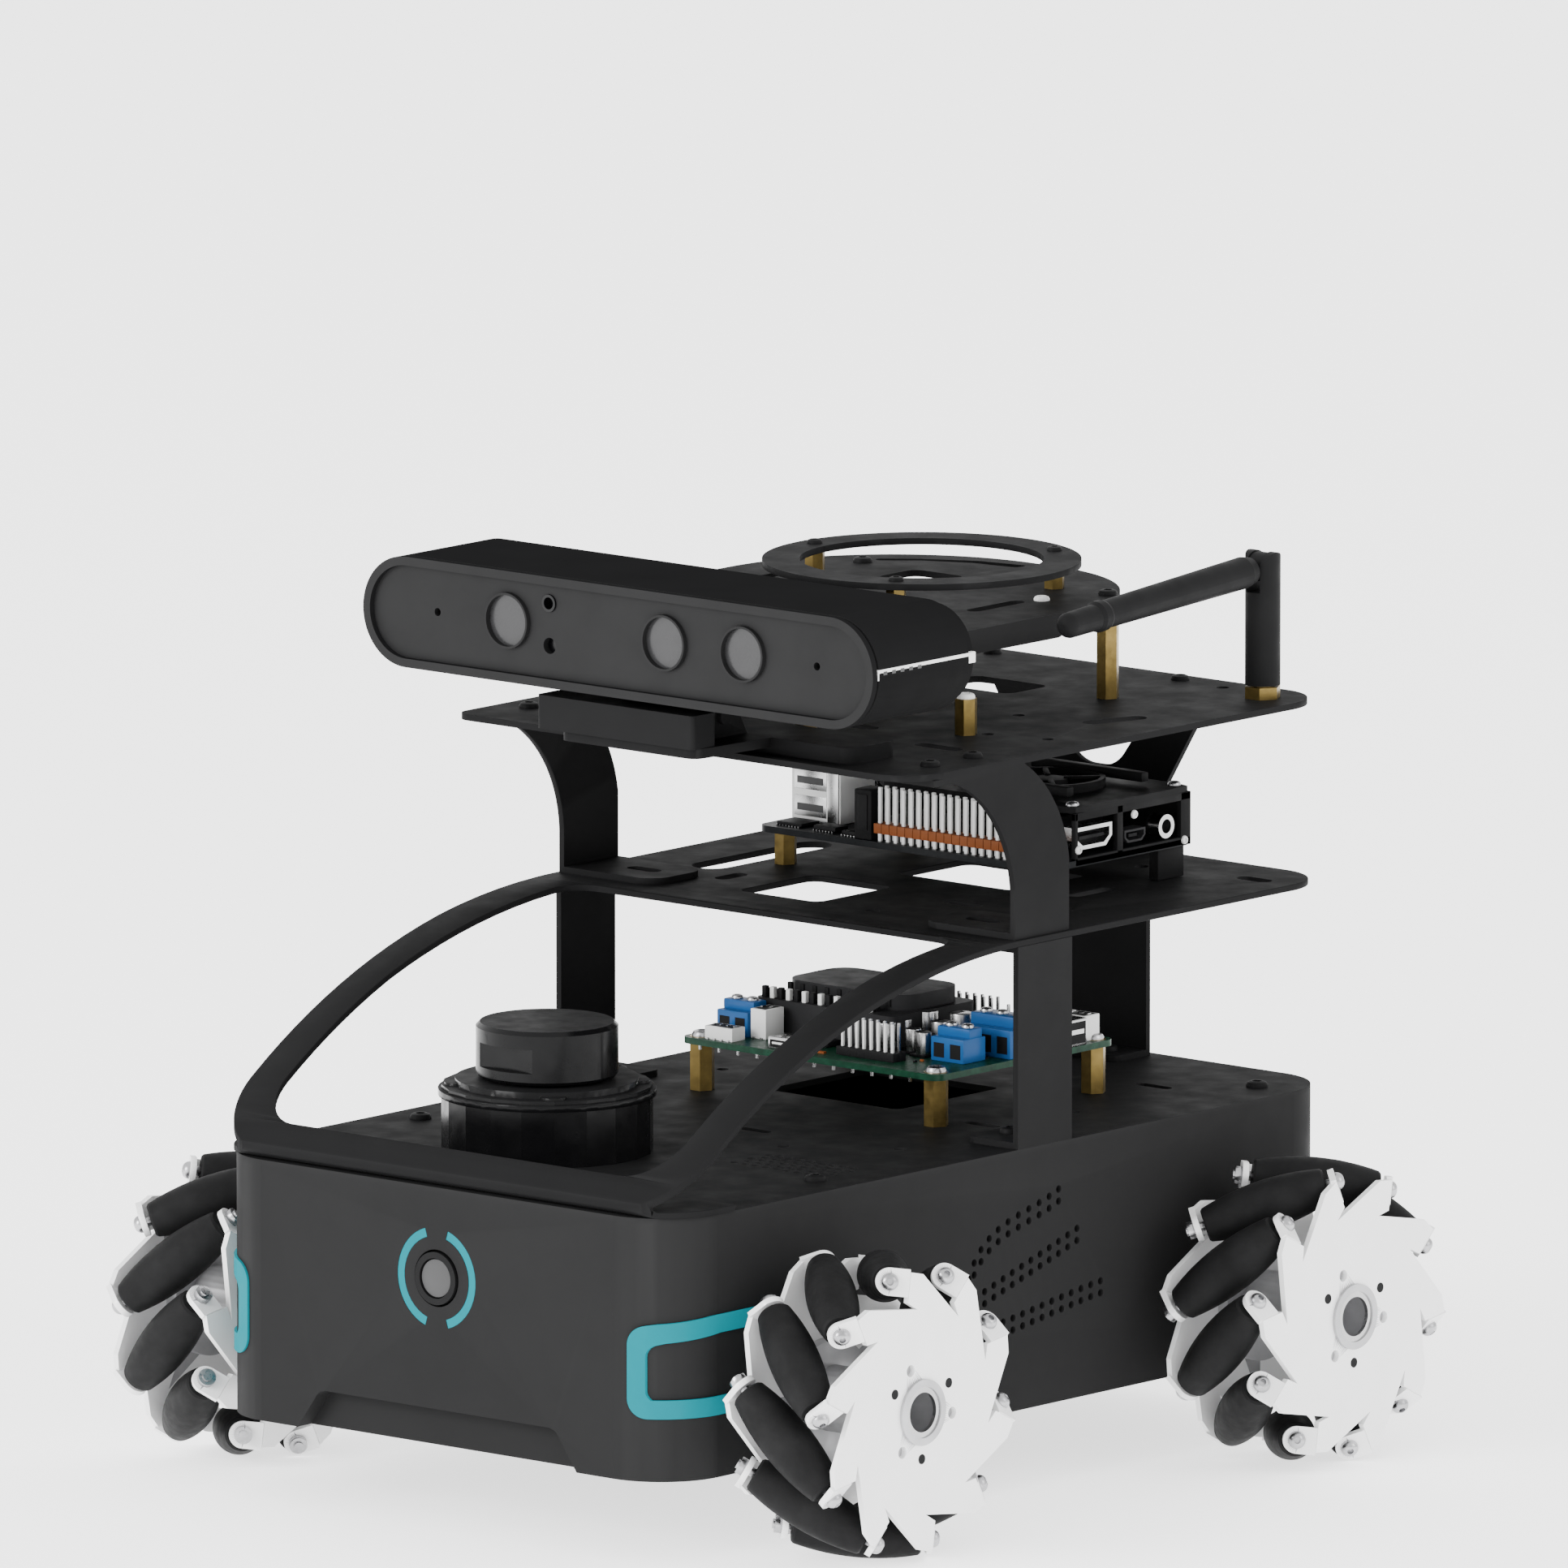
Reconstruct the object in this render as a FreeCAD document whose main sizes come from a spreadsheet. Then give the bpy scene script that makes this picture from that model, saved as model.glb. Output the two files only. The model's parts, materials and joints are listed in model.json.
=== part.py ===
import FreeCAD, Part
import math
import os
import Sketcher
from FreeCAD import Placement, Rotation, Vector

# Mecanum-wheel robot on a sheet-metal chassis, in mm.
# Frame: +Z up, front of the robot is -Y, its own left side is +X, origin on the floor
# under the middle of the outline.

os.makedirs("parts", exist_ok=True)
doc = FreeCAD.newDocument("mecanum_robot")

# ---------------------------------------------------------------- driving dimensions
DIMENSIONS = [
    ("chassis_width", 150), ("chassis_length", 254), ("chassis_bottom", 20), ("chassis_top", 85),
    ("chassis_corner", 18), ("wall", 1.6), ("sheet", 1.6),
    ("recess_top_width", 76), ("recess_bottom_width", 90), ("recess_height", 10), ("recess_depth", 5),
    ("button_height", 62.5), ("button_radius", 6.6), ("button_travel", 1.5),
    ("halo_outer", 12.6), ("halo_inner", 10.4),
    ("wheel_radius", 37.5), ("wheel_axis_height", 37.43), ("wheel_plane", 100.5), ("wheel_base", 164),
    ("roller_count", 10), ("roller_orbit", 31.25), ("roller_length", 31.6), ("roller_end_radius", 4.3),
    ("roller_bore", 1.3), ("axle_radius", 1.2), ("plate_half_gap", 15), ("plate_sheet", 1.5),
    ("ear_station", 16.95), ("ear_radius", 3.4), ("roller_phase", 81),
    ("mid_top", 137), ("mid_width", 150), ("plate_back", 124), ("mid_front", -4),
    ("top_top", 182.2), ("top_width", 148), ("top_front", -35.5),
    ("camera_width", 165), ("camera_height", 27.6), ("camera_depth", 39), ("camera_front", -60),
    ("camera_centre", 211), ("tilt_height", 191.6), ("tilt_y", -38), ("lens_radius", 7),
    ("lidar_x", -13), ("lidar_y", -71), ("lidar_base_height", 18.2), ("lidar_base_radius", 26),
    ("lidar_head_radius", 17.5), ("lidar_head_height", 13.3),
    ("ring_outer", 39.5), ("ring_inner", 30.2), ("ring_y", 55), ("ring_top", 217.4), ("shelf_top", 208),
    ("board_top", 98.4), ("computer_base", 145),
    ("aerial_x", 63), ("aerial_y", 111), ("aerial_pivot", 215), ("aerial_reach", 77),
]
dims = doc.addObject("Spreadsheet::Sheet", "Dims")
for row, (alias, number) in enumerate(DIMENSIONS, 1):
    dims.set("A%d" % row, alias)
    dims.set("B%d" % row, str(number))
    dims.setAlias("B%d" % row, alias)
doc.recompute()
ALIASES = {alias for alias, number in DIMENSIONS}


def val(alias):
    """The number held by one cell of the sheet."""
    return float(dims.get(alias))


def formula(text):
    """Point every alias in the text at its cell."""
    words = []
    word = ""
    for letter in text + " ":
        if letter.isalnum() or letter == "_":
            word += letter
            continue
        words.append("Dims." + word if word in ALIASES else word)
        words.append(letter)
        word = ""
    return "".join(words).strip()


def bind(thing, field, amount):
    """Set a property to a number, or tie it to the sheet when the amount is a formula."""
    if isinstance(amount, str):
        thing.setExpression(field, formula(amount))
    else:
        thing.setExpression(field, repr(float(amount)))


def put(thing, at):
    for letter, amount in zip("xyz", at):
        bind(thing, "Placement.Base." + letter, amount)


# ---------------------------------------------------------------- building blocks
AXIS_TURN = {
    "x": Rotation(Vector(0, 1, 0), 90),
    "y": Rotation(Vector(1, 0, 0), -90),
    "z": Rotation(),
}


def box(name, at, size):
    """Box from its lowest corner; each entry may be a formula."""
    thing = doc.addObject("Part::Box", name)
    for field, amount in zip(("Length", "Width", "Height"), size):
        bind(thing, field, amount)
    put(thing, at)
    return thing


def rod(name, at, radius, length, axis="z"):
    """Cylinder that starts at a point and runs along an axis."""
    thing = doc.addObject("Part::Cylinder", name)
    thing.Placement = Placement(Vector(), AXIS_TURN[axis])
    bind(thing, "Radius", radius)
    bind(thing, "Height", length)
    put(thing, at)
    return thing


def hexagon(name, at, flats, length):
    thing = doc.addObject("Part::Prism", name)
    thing.Polygon = 6
    bind(thing, "Circumradius", flats / math.sqrt(3))
    bind(thing, "Height", length)
    put(thing, at)
    return thing


PLANES = {
    "xy": Rotation(),
    "xz": Rotation(Vector(1, 0, 0), 90),
    "yz": Rotation(Vector(1, 1, 1), 120),
}
NORMALS = {"xy": Vector(0, 0, 1), "xz": Vector(0, -1, 0), "yz": Vector(1, 0, 0)}


def rounded(points, radii):
    """Line and arc segments of a closed outline whose corners are rounded."""
    count = len(points)
    cuts = []
    for i in range(count):
        here = Vector(*points[i], 0)
        before = Vector(*points[i - 1], 0) - here
        after = Vector(*points[(i + 1) % count], 0) - here
        radius = radii[i] if isinstance(radii, (list, tuple)) else radii
        if radius <= 0:
            cuts.append((here, None, here))
            continue
        angle = before.getAngle(after)
        run = radius / math.tan(angle / 2)
        run = min(run, 0.49 * before.Length, 0.49 * after.Length)
        radius = run * math.tan(angle / 2)
        before.normalize()
        after.normalize()
        middle = before + after
        middle.normalize()
        crest = here + middle * (radius / math.sin(angle / 2) - radius)
        cuts.append((here + before * run, crest, here + after * run))
    shapes = []
    for i, (start, crest, end) in enumerate(cuts):
        if crest is not None:
            shapes.append(Part.Arc(start, crest, end))
        following = cuts[(i + 1) % count][0]
        if (following - end).Length > 1e-6:
            shapes.append(Part.LineSegment(end, following))
    return shapes


def prism(name, outline, start, depth, plane="xy", holes=()):
    """Flat outline extruded along its plane normal from a start distance."""
    sketch = doc.addObject("Sketcher::SketchObject", name + "_outline")
    sketch.addGeometry(outline, False)
    for hole in holes:
        sketch.addGeometry(hole, False)
    normal = NORMALS[plane]
    sketch.Placement = Placement(normal * start, PLANES[plane])
    thing = doc.addObject("Part::Extrusion", name)
    thing.Base = sketch
    thing.DirMode = "Custom"
    thing.Dir = normal
    thing.Solid = True
    bind(thing, "LengthFwd", depth)
    return thing


def turned(name, outline):
    """Half profile in the XZ plane turned about +Z."""
    sketch = doc.addObject("Sketcher::SketchObject", name + "_profile")
    sketch.addGeometry(outline, False)
    sketch.Placement = Placement(Vector(), PLANES["xz"])
    thing = doc.addObject("Part::Revolution", name)
    thing.Source = sketch
    thing.Axis = Vector(0, 0, 1)
    thing.Base = Vector(0, 0, 0)
    thing.Angle = 360
    thing.Solid = True
    return thing


def circle(x, y, radius):
    return Part.Circle(Vector(x, y, 0), Vector(0, 0, 1), radius)


def slot(x0, y0, x1, y1, radius):
    """Closed round-ended slot between two centres."""
    along = Vector(x1 - x0, y1 - y0, 0)
    along.normalize()
    side = Vector(-along.y, along.x, 0) * radius
    first = Vector(x0, y0, 0)
    last = Vector(x1, y1, 0)
    return [
        Part.LineSegment(first + side, last + side),
        Part.Arc(last + side, last + along * radius, last - side),
        Part.LineSegment(last - side, first - side),
        Part.Arc(first - side, first - along * radius, first + side),
    ]


def window(x0, x1, y0, y1, radius=1.5):
    return rounded([(x0, y0), (x1, y0), (x1, y1), (x0, y1)], radius)


def fuse(name, things):
    thing = doc.addObject("Part::MultiFuse", name)
    thing.Shapes = things
    thing.Refine = True
    return thing


def cut(name, base, tools):
    tool = tools[0] if len(tools) == 1 else fuse(name + "_tools", tools)
    thing = doc.addObject("Part::Cut", name)
    thing.Base = base
    thing.Tool = tool
    return thing


def common(name, first, second):
    thing = doc.addObject("Part::Common", name)
    thing.Base = first
    thing.Tool = second
    return thing


def group(name, things, where=None):
    """Several separate solids kept as one sub-part."""
    thing = doc.addObject("Part::Compound", name)
    thing.Links = things
    if where is not None:
        thing.Placement = where
    return thing


SUB_PARTS = []


def sub_part(label, thing):
    thing.Label = label
    SUB_PARTS.append((label, thing))
    return thing


# ---------------------------------------------------------------- chassis tub and lid
half_width = val("chassis_width") / 2
half_length = val("chassis_length") / 2
floor_z = val("chassis_bottom")
deck_z = val("chassis_top")
wall = val("wall")
sheet = val("sheet")
corner = val("chassis_corner")
axis_z = val("wheel_axis_height")
wheel_y = val("wheel_base") / 2


def chassis_outline(inset):
    x = half_width - inset
    y = half_length - inset
    return rounded([(-x, -y), (x, -y), (x, y), (-x, y)], corner - inset)


tub_outside = prism("tub_outside", chassis_outline(0), floor_z, "chassis_top - chassis_bottom - sheet")
tub_inside = prism("tub_inside", chassis_outline(wall), floor_z + wall, "chassis_top - chassis_bottom")
recess_half_top = val("recess_top_width") / 2
recess_half_bottom = val("recess_bottom_width") / 2
recess_z = floor_z + val("recess_height")
recess_wide = [
    (-recess_half_bottom - 0.9, floor_z - 1), (recess_half_bottom + 0.9, floor_z - 1),
    (recess_half_top, recess_z), (-recess_half_top, recess_z),
]
recess_cut = prism(
    "recess_cut", rounded(recess_wide, [0, 0, 3.5, 3.5]),
    half_length - val("recess_depth"), "recess_depth + 1", "xz")
recess_block = cut("recess_block", prism(
    "recess_shell", rounded([
        (-recess_half_bottom - 3, floor_z + 0.2), (recess_half_bottom + 3, floor_z + 0.2),
        (recess_half_top + 2, recess_z + wall), (-recess_half_top - 2, recess_z + wall)], [0, 0, 4, 4]),
    half_length - wall - val("recess_depth"), "recess_depth + 0.2", "xz"), [recess_cut])
tub_sheet = cut("tub_sheet", tub_outside, [tub_inside])
recess_cut_again = prism(
    "recess_opening", rounded(recess_wide, [0, 0, 3.5, 3.5]),
    half_length - val("recess_depth"), "recess_depth + 1", "xz")
tub_open = cut("tub_open", tub_sheet, [recess_cut_again])
tub_body = fuse("tub_body", [tub_open, recess_block])

# Three fanned bands of air holes in each side wall.
VENT_ROWS = [
    [(-15, 54), (-8, 62.5), (5, 67.6), (19, 71.6)],
    [(-9, 50), (2, 53.4), (14, 57), (26, 60.8)],
    [(-2, 41.4), (11, 43.2), (23, 44.9), (35, 46.4)],
]
side_holes = []
for row, line in enumerate(VENT_ROWS):
    path = Part.BSplineCurve()
    path.interpolate([Vector(0, y, z) for y, z in line])
    steps = 11
    for i in range(steps):
        spot = path.value(path.FirstParameter + (path.LastParameter - path.FirstParameter) * i / (steps - 1))
        for lift in (-1.5, 1.5):
            side_holes.append(rod(
                "vent_%d_%d_%d" % (row, i, lift > 0), (-half_width - 1, spot.y, spot.z + lift), 0.95,
                "chassis_width + 2", "x"))
shaft_holes = [
    rod("shaft_hole_%d" % (end > 0), (-half_width - 1, end * wheel_y, axis_z), 5.6,
        "chassis_width + 2", "x")
    for end in (-1, 1)
]
button_hole = rod(
    "button_hole", (0, -half_length - 1, "button_height"), "button_radius + 0.5", 4, "y")
lamp_pockets = []
LAMP_WALL = 1.0


def halo_arc(name, side, outer, inner, start, depth):
    """One half of the light ring round the button, open at the top and bottom."""
    half_gap = 17
    lift = val("button_height")
    first = math.radians(-90 + half_gap)
    last = math.radians(90 - half_gap)

    def spot(radius, angle):
        return Vector(side * radius * math.cos(angle), lift + radius * math.sin(angle), 0)

    outline = [
        Part.Arc(spot(outer, first), spot(outer, 0), spot(outer, last)),
        Part.LineSegment(spot(outer, last), spot(inner, last)),
        Part.Arc(spot(inner, last), spot(inner, 0), spot(inner, first)),
        Part.LineSegment(spot(inner, first), spot(outer, first)),
    ]
    return prism(name, outline, start, depth, "xz")


for side in (-1, 1):
    lamp_pockets.append(halo_arc(
        "halo_pocket_%d" % (side > 0), side, val("halo_outer"), val("halo_inner"),
        half_length - LAMP_WALL, 3))
tub = cut("tub", tub_body, side_holes + shaft_holes + [button_hole] + lamp_pockets)

# Lid with board window, grille and fixing holes.
lid_holes = [window(-26, 17, 26, 65, 2)]
for y in (-104, -60, 20, 108):
    for x in (-64, 64):
        lid_holes.append([circle(x, y, 1.7)])
for x, y in ((-34, -46), (34, -98), (-46, -88), (52, -14), (-52, 40), (52, 52), (28, -30)):
    lid_holes.append([circle(x, y, 1.5)])
for x, y in ((-30, -22), (8, -18), (46, 24), (-46, 84), (44, 92)):
    lid_holes.append(slot(x - 4, y, x + 4, y, 1.5))
for i in range(9):
    for j in range(5):
        lid_holes.append([circle(33 + i * 3.4 + (j % 2) * 1.7, -54 + j * 3.2, 1.05)])
lid = prism("lid", chassis_outline(0), deck_z - sheet, "sheet", "xy", lid_holes)
sub_part("chassis", group("chassis", [tub, lid]))

# ---------------------------------------------------------------- mid plate and front hoop
mid_z = val("mid_top")
half_mid = val("mid_width") / 2
plate_back = val("plate_back")
mid_front = val("mid_front")

FLANGE_BACK = -103.0
FOLD_RADIUS = 1.6
CREST_Y = 4.0
CREST_RADIUS = 197.0
HOOP_WIDTH = 151.4


def hoop_side(offset):
    """Side line of the bent sheet, shifted by an offset to the left of its run."""
    low = deck_z + sheet / 2
    crest = Vector(CREST_Y, mid_z - sheet / 2 - CREST_RADIUS, 0)
    rise = low + FOLD_RADIUS - crest.y
    reach = math.sqrt((CREST_RADIUS - FOLD_RADIUS) ** 2 - rise ** 2)
    fold = Vector(CREST_Y - reach, low + FOLD_RADIUS, 0)
    slope = math.atan2(reach, rise)

    def on_arc(centre, radius, heading):
        return centre + Vector(-math.sin(heading), math.cos(heading), 0) * (radius - offset)

    return [
        Vector(FLANGE_BACK, low + offset, 0), Vector(fold.x, low + offset, 0),
        on_arc(fold, FOLD_RADIUS, math.radians(110)), on_arc(fold, FOLD_RADIUS, slope),
        on_arc(crest, CREST_RADIUS, slope / 2), on_arc(crest, CREST_RADIUS, 0),
        Vector(plate_back, mid_z - sheet / 2 - offset, 0),
    ]


def strip_shapes(points):
    return [
        Part.LineSegment(points[0], points[1]),
        Part.Arc(points[1], points[2], points[3]),
        Part.Arc(points[3], points[4], points[5]),
        Part.LineSegment(points[5], points[6]),
    ]


outer_line = hoop_side(-sheet / 2)
inner_line = hoop_side(sheet / 2)
band_outline = strip_shapes(outer_line) + strip_shapes(inner_line)
band_outline.append(Part.LineSegment(outer_line[0], inner_line[0]))
band_outline.append(Part.LineSegment(outer_line[6], inner_line[6]))
half_hoop = HOOP_WIDTH / 2
band = prism("hoop_band", band_outline, -half_hoop, "%g" % HOOP_WIDTH, "yz")

hoop_plan = prism("hoop_plan", rounded([
    (-half_hoop, -126.6), (half_hoop, -126.6), (half_hoop, -40), (half_mid, -4), (half_mid, plate_back),
    (-half_mid, plate_back), (-half_mid, -4), (-half_hoop, -40)],
    [17, 17, 40, 40, 15, 15, 40, 40]), deck_z - 2, 60)
hoop_trimmed = common("hoop_trimmed", band, hoop_plan)
hoop_opening = prism("hoop_opening", rounded([
    (-65.2, -119.8), (65.2, -119.8), (65.2, -70), (62.5, mid_front), (-62.5, mid_front), (-65.2, -70)],
    [12, 12, 60, 8, 8, 60]), deck_z + 3.6, 60)
MID_HOLES = [
    slot(-52, 36, -52, 74, 5), window(-24, 2, 13, 42, 3), window(-10, 28, 57, 85, 3),
    slot(27, 35, 34, 35, 2), slot(60, 108, 66, 108, 2), slot(-66, 108, -60, 108, 2),
    slot(-38, 24, -38, 30, 2), slot(44, 62, 44, 74, 2),
]
for x, y in ((46, 13), (20, 13), (-60, 92), (0, 108), (-30, 108), (30, 104), (56, 44)):
    MID_HOLES.append([circle(x, y, 1.6)])
mid_hole_tools = [
    prism("mid_hole_%d" % i, shapes, mid_z - 4, 6) for i, shapes in enumerate(MID_HOLES)]
flange_holes = [
    rod("flange_hole_%d" % i, (x, -110, deck_z - 1), 1.7, 4) for i, x in enumerate((-42, 0, 42))]
mid_sheet = cut("mid_sheet", hoop_trimmed, [hoop_opening] + mid_hole_tools + flange_holes)
sub_part("mid_plate_hoop", mid_sheet)

# ---------------------------------------------------------------- top plate with camera stand
top_z = val("top_top")
half_top = val("top_width") / 2
top_front = val("top_front")
TOP_HOLES = [
    slot(44, 4, 54, 4, 2.2), slot(54.5, 56, 58.5, 68, 2.6),
    slot(-18, 14, 18, 14, 2.4), window(-12, 12, 74, 90, 3), slot(-20, 6, -12, 6, 1.6),
]
for x in (-46, 46):
    for y in (26, 116):
        TOP_HOLES.append([circle(x, y, 1.6)])
for x, y in ((30, -8), (-30, -8), (12, 34), (26, 40), (-10, 40), (34, 52), (-62, 30), (62, 30)):
    TOP_HOLES.append([circle(x, y, 1.5)])
top_sheet = prism("top_sheet", rounded([
    (-half_top, top_front), (half_top, top_front), (half_top, plate_back),
    (-half_top, plate_back)], [4, 12, 14, 14]), top_z - sheet, "sheet", "xy",
    [shapes for shapes in TOP_HOLES])

tilt_y = val("tilt_y")
tilt_z = val("tilt_height")
stand_foot = prism("stand_foot", rounded(
    [(-27, -30), (50, -30), (50, -12), (-27, -12)], [4, 4, 4, 4]), top_z, 4)
stand_tongue = prism("stand_tongue", rounded(
    [(-22, -56), (22, -56), (24, -29), (-24, -29)], [3, 3, 0, 0]), top_z + 1.6, 2.4)
stand_nose = prism("stand_nose", rounded(
    [(-28.5, -57), (22, -57), (22, -48), (-28.5, -48)], 1.2), top_z + 4, 8.4)
stand_cheeks = [
    prism("stand_cheek_%d" % (side > 0), rounded(
        [(tilt_y - 6, top_z + 3), (tilt_y + 10, top_z + 3), (tilt_y + 4.4, tilt_z + 4.2),
         (tilt_y - 4.4, tilt_z + 4.2)], [0, 0, 4, 4]), 12.5 * side - 2.5, 5, "yz")
    for side in (-1, 1)
]
stand_pin = rod("stand_pin", (-16.5, "tilt_y", "tilt_height"), 2, 33, "x")
stand = fuse("stand", [stand_foot, stand_tongue, stand_nose] + stand_cheeks + [stand_pin])
sub_part("top_plate", group("top_plate", [top_sheet, stand]))

# ---------------------------------------------------------------- depth camera
cam_radius = val("camera_height") / 2
cam_half = val("camera_width") / 2
cam_z = val("camera_centre")
cam_front = val("camera_front")
cam_back = cam_front + val("camera_depth")


def stadium(inset):
    reach = cam_half - cam_radius
    return slot(-reach, cam_z, reach, cam_z, cam_radius - inset)


camera_parts = [
    prism("camera_core", stadium(1.2), -cam_back, "camera_depth - 1.6", "xz"),
    prism("camera_sleeve", stadium(0), -cam_back + 3, "camera_depth - 5.4", "xz"),
    prism("camera_bezel", stadium(0), -cam_front - 1.7, 1.7, "xz", [stadium(2.2)]),
]
LENS_LIFT = 1.3
LENSES = (-36.3, 14.5, 39.8)
SMALL_EYES = ((-59.5, 0.8, 1.0), (63.2, 0.8, 1.0), (-23, 7, 2.2), (-23, -3.6, 2.0))
camera_body = fuse("camera_body", camera_parts)
camera_pockets = [
    rod("lens_pocket_%d" % i, (x, cam_front, cam_z + LENS_LIFT), "lens_radius", 2.6, "y")
    for i, x in enumerate(LENSES)]
camera_pockets += [
    rod("eye_pocket_%d" % i, (x, cam_front, cam_z + z), radius, 3.4, "y")
    for i, (x, z, radius) in enumerate(SMALL_EYES)]
camera_shell = cut("camera_shell", camera_body, camera_pockets)
lens_discs = [
    rod("lens_disc_%d" % i, (x, cam_front + 1.9, cam_z + LENS_LIFT), "lens_radius", 0.7, "y")
    for i, x in enumerate(LENSES)]
camera_lug = prism("camera_lug", rounded(
    [(tilt_y - 4, tilt_z - 4), (tilt_y + 4, tilt_z - 4), (tilt_y + 6, cam_z - cam_radius + 2),
     (tilt_y - 6, cam_z - cam_radius + 2)], [4, 4, 0, 0]), -9.5, 19, "yz",
    [[circle(tilt_y, tilt_z, 2.2)]])
camera_all = fuse("camera_all", [camera_shell, camera_lug] + lens_discs)
sub_part("depth_camera", camera_all)

# ---------------------------------------------------------------- sheet-metal supports
POST_FRONT = 3.5
POST_BACK = 24.0
side_sheet = half_mid - sheet
supports = []
for side in (-1, 1):
    tag = "pos" if side > 0 else "neg"
    start = side_sheet if side > 0 else -half_mid
    post = prism("post_" + tag, rounded(
        [(POST_FRONT, deck_z), (POST_BACK, deck_z), (POST_BACK, mid_z - sheet), (POST_FRONT, mid_z - sheet)],
        0), start, "sheet", "yz")
    feet = []
    for name, level in (("low", deck_z), ("high", mid_z - 2 * sheet)):
        inner = half_mid - 17
        feet.append(prism("post_%s_%s" % (name, tag), rounded(
            [(side * inner, POST_FRONT), (side * half_mid, POST_FRONT), (side * half_mid, POST_BACK),
             (side * inner, POST_BACK)], [3, 0, 0, 3]), level, "sheet", "xy",
            [[circle(side * (inner + 6), (POST_FRONT + POST_BACK) / 2, 1.7)]]))
    supports.append(fuse("lower_support_" + tag, [post] + feet))
    sweep_low = mid_z
    sweep_high = top_z - sheet
    sweep_outline = [
        Part.LineSegment(Vector(POST_FRONT, sweep_low, 0), Vector(POST_FRONT, sweep_low + 11, 0)),
        Part.Arc(Vector(POST_FRONT, sweep_low + 11, 0), Vector(-5.4, sweep_low + 32.5, 0),
                 Vector(-27, sweep_high, 0)),
        Part.LineSegment(Vector(-27, sweep_high, 0), Vector(7, sweep_high, 0)),
        Part.Arc(Vector(7, sweep_high, 0), Vector(19.5, sweep_low + 31, 0),
                 Vector(POST_BACK, sweep_low + 18, 0)),
        Part.LineSegment(Vector(POST_BACK, sweep_low + 18, 0), Vector(POST_BACK, sweep_low, 0)),
        Part.LineSegment(Vector(POST_BACK, sweep_low, 0), Vector(POST_FRONT, sweep_low, 0)),
    ]
    top_start = half_top - sheet if side > 0 else -half_top
    sweep = prism("sweep_" + tag, sweep_outline, top_start, "sheet", "yz")
    inner = half_top - 31
    foot = prism("sweep_foot_" + tag, rounded(
        [(side * inner, POST_FRONT), (side * half_top, POST_FRONT), (side * half_top, POST_BACK),
         (side * inner, POST_BACK)], [6, 0, 0, 6]), sweep_low, "sheet", "xy",
        [slot(side * (inner + 9), 13.8, side * (inner + 15), 13.8, 2)])
    inner = half_top - 15
    head = prism("sweep_head_" + tag, rounded(
        [(side * inner, -27), (side * half_top, -27), (side * half_top, 7), (side * inner, 7)],
        [4, 0, 0, 4]), sweep_high - sheet, "sheet", "xy",
        [[circle(side * (inner + 6), -18, 1.7)], [circle(side * (inner + 6), -2, 1.7)]])
    supports.append(fuse("upper_support_" + tag, [sweep, foot, head]))

rear_y = plate_back - sheet
panel = prism("rear_panel_web", rounded(
    [(-16, deck_z), (16, deck_z), (16, mid_z - sheet), (-16, mid_z - sheet)], 0), -plate_back, "sheet", "xz")
panel_feet = [
    prism("rear_panel_%s" % name, rounded(
        [(-16, plate_back - 14), (16, plate_back - 14), (16, plate_back), (-16, plate_back)], [3, 3, 0, 0]),
        level, "sheet", "xy", [[circle(-9, plate_back - 8, 1.7)], [circle(9, plate_back - 8, 1.7)]])
    for name, level in (("foot", deck_z), ("head", mid_z - 2 * sheet))]
supports.append(fuse("rear_panel", [panel] + panel_feet))
fork_low = mid_z
fork_high = top_z - sheet
fork = prism("rear_fork_web", rounded([
    (-19, fork_low), (19, fork_low), (19, fork_low + 12), (38, fork_high), (23, fork_high),
    (6, fork_low + 20), (-6, fork_low + 20), (-23, fork_high), (-38, fork_high), (-19, fork_low + 12)],
    [0, 0, 12, 0, 0, 9, 9, 0, 0, 12]), -plate_back, "sheet", "xz")
fork_feet = [prism("rear_fork_foot", rounded(
    [(-19, plate_back - 13), (19, plate_back - 13), (19, plate_back), (-19, plate_back)], [3, 3, 0, 0]),
    fork_low, "sheet", "xy", [[circle(-11, plate_back - 7, 1.7)], [circle(11, plate_back - 7, 1.7)]])]
for side in (-1, 1):
    fork_feet.append(prism("rear_fork_head_%d" % (side > 0), rounded(
        [(side * 23, plate_back - 11), (side * 38, plate_back - 11), (side * 38, plate_back),
         (side * 23, plate_back)], [3, 3, 0, 0]), fork_high - sheet, "sheet", "xy",
        [[circle(side * 30.5, plate_back - 6, 1.6)]]))
supports.append(fuse("rear_fork", [fork] + fork_feet))
sub_part("support_brackets", group("support_brackets", supports))

# ---------------------------------------------------------------- ring over its shelf
ring_y = val("ring_y")
shelf_z = val("shelf_top")
ring_z = val("ring_top")
SHELF_POSTS = [(-44, 20), (8, 2), (-44, 84), (34, 86)]
STUB_POSTS = [(42, 22.5)]
RING_BOLTS = 34.8
RING_POSTS = [
    (RING_BOLTS * math.cos(math.radians(angle)), ring_y + RING_BOLTS * math.sin(math.radians(angle)))
    for angle in (60, 180, 300)]
RIM_SLOT = [(47.5 * math.cos(math.radians(angle)) - 9, ring_y + 47.5 * math.sin(math.radians(angle)))
            for angle in (136, 122, 106, 91)]
shelf_holes = [
    rounded([RIM_SLOT[0], RIM_SLOT[1], RIM_SLOT[2], RIM_SLOT[3], (-9, ring_y + 51.5), (-23, ring_y + 49),
             (-36, ring_y + 42), (-45, ring_y + 35)], 1.2),
    slot(24, ring_y - 8, 24, ring_y + 8, 2), window(-27, -10, ring_y + 14, ring_y + 29, 3),
    slot(-14, 22, 14, 22, 2), slot(-48, ring_y - 14, -48, ring_y + 10, 2)]
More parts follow.
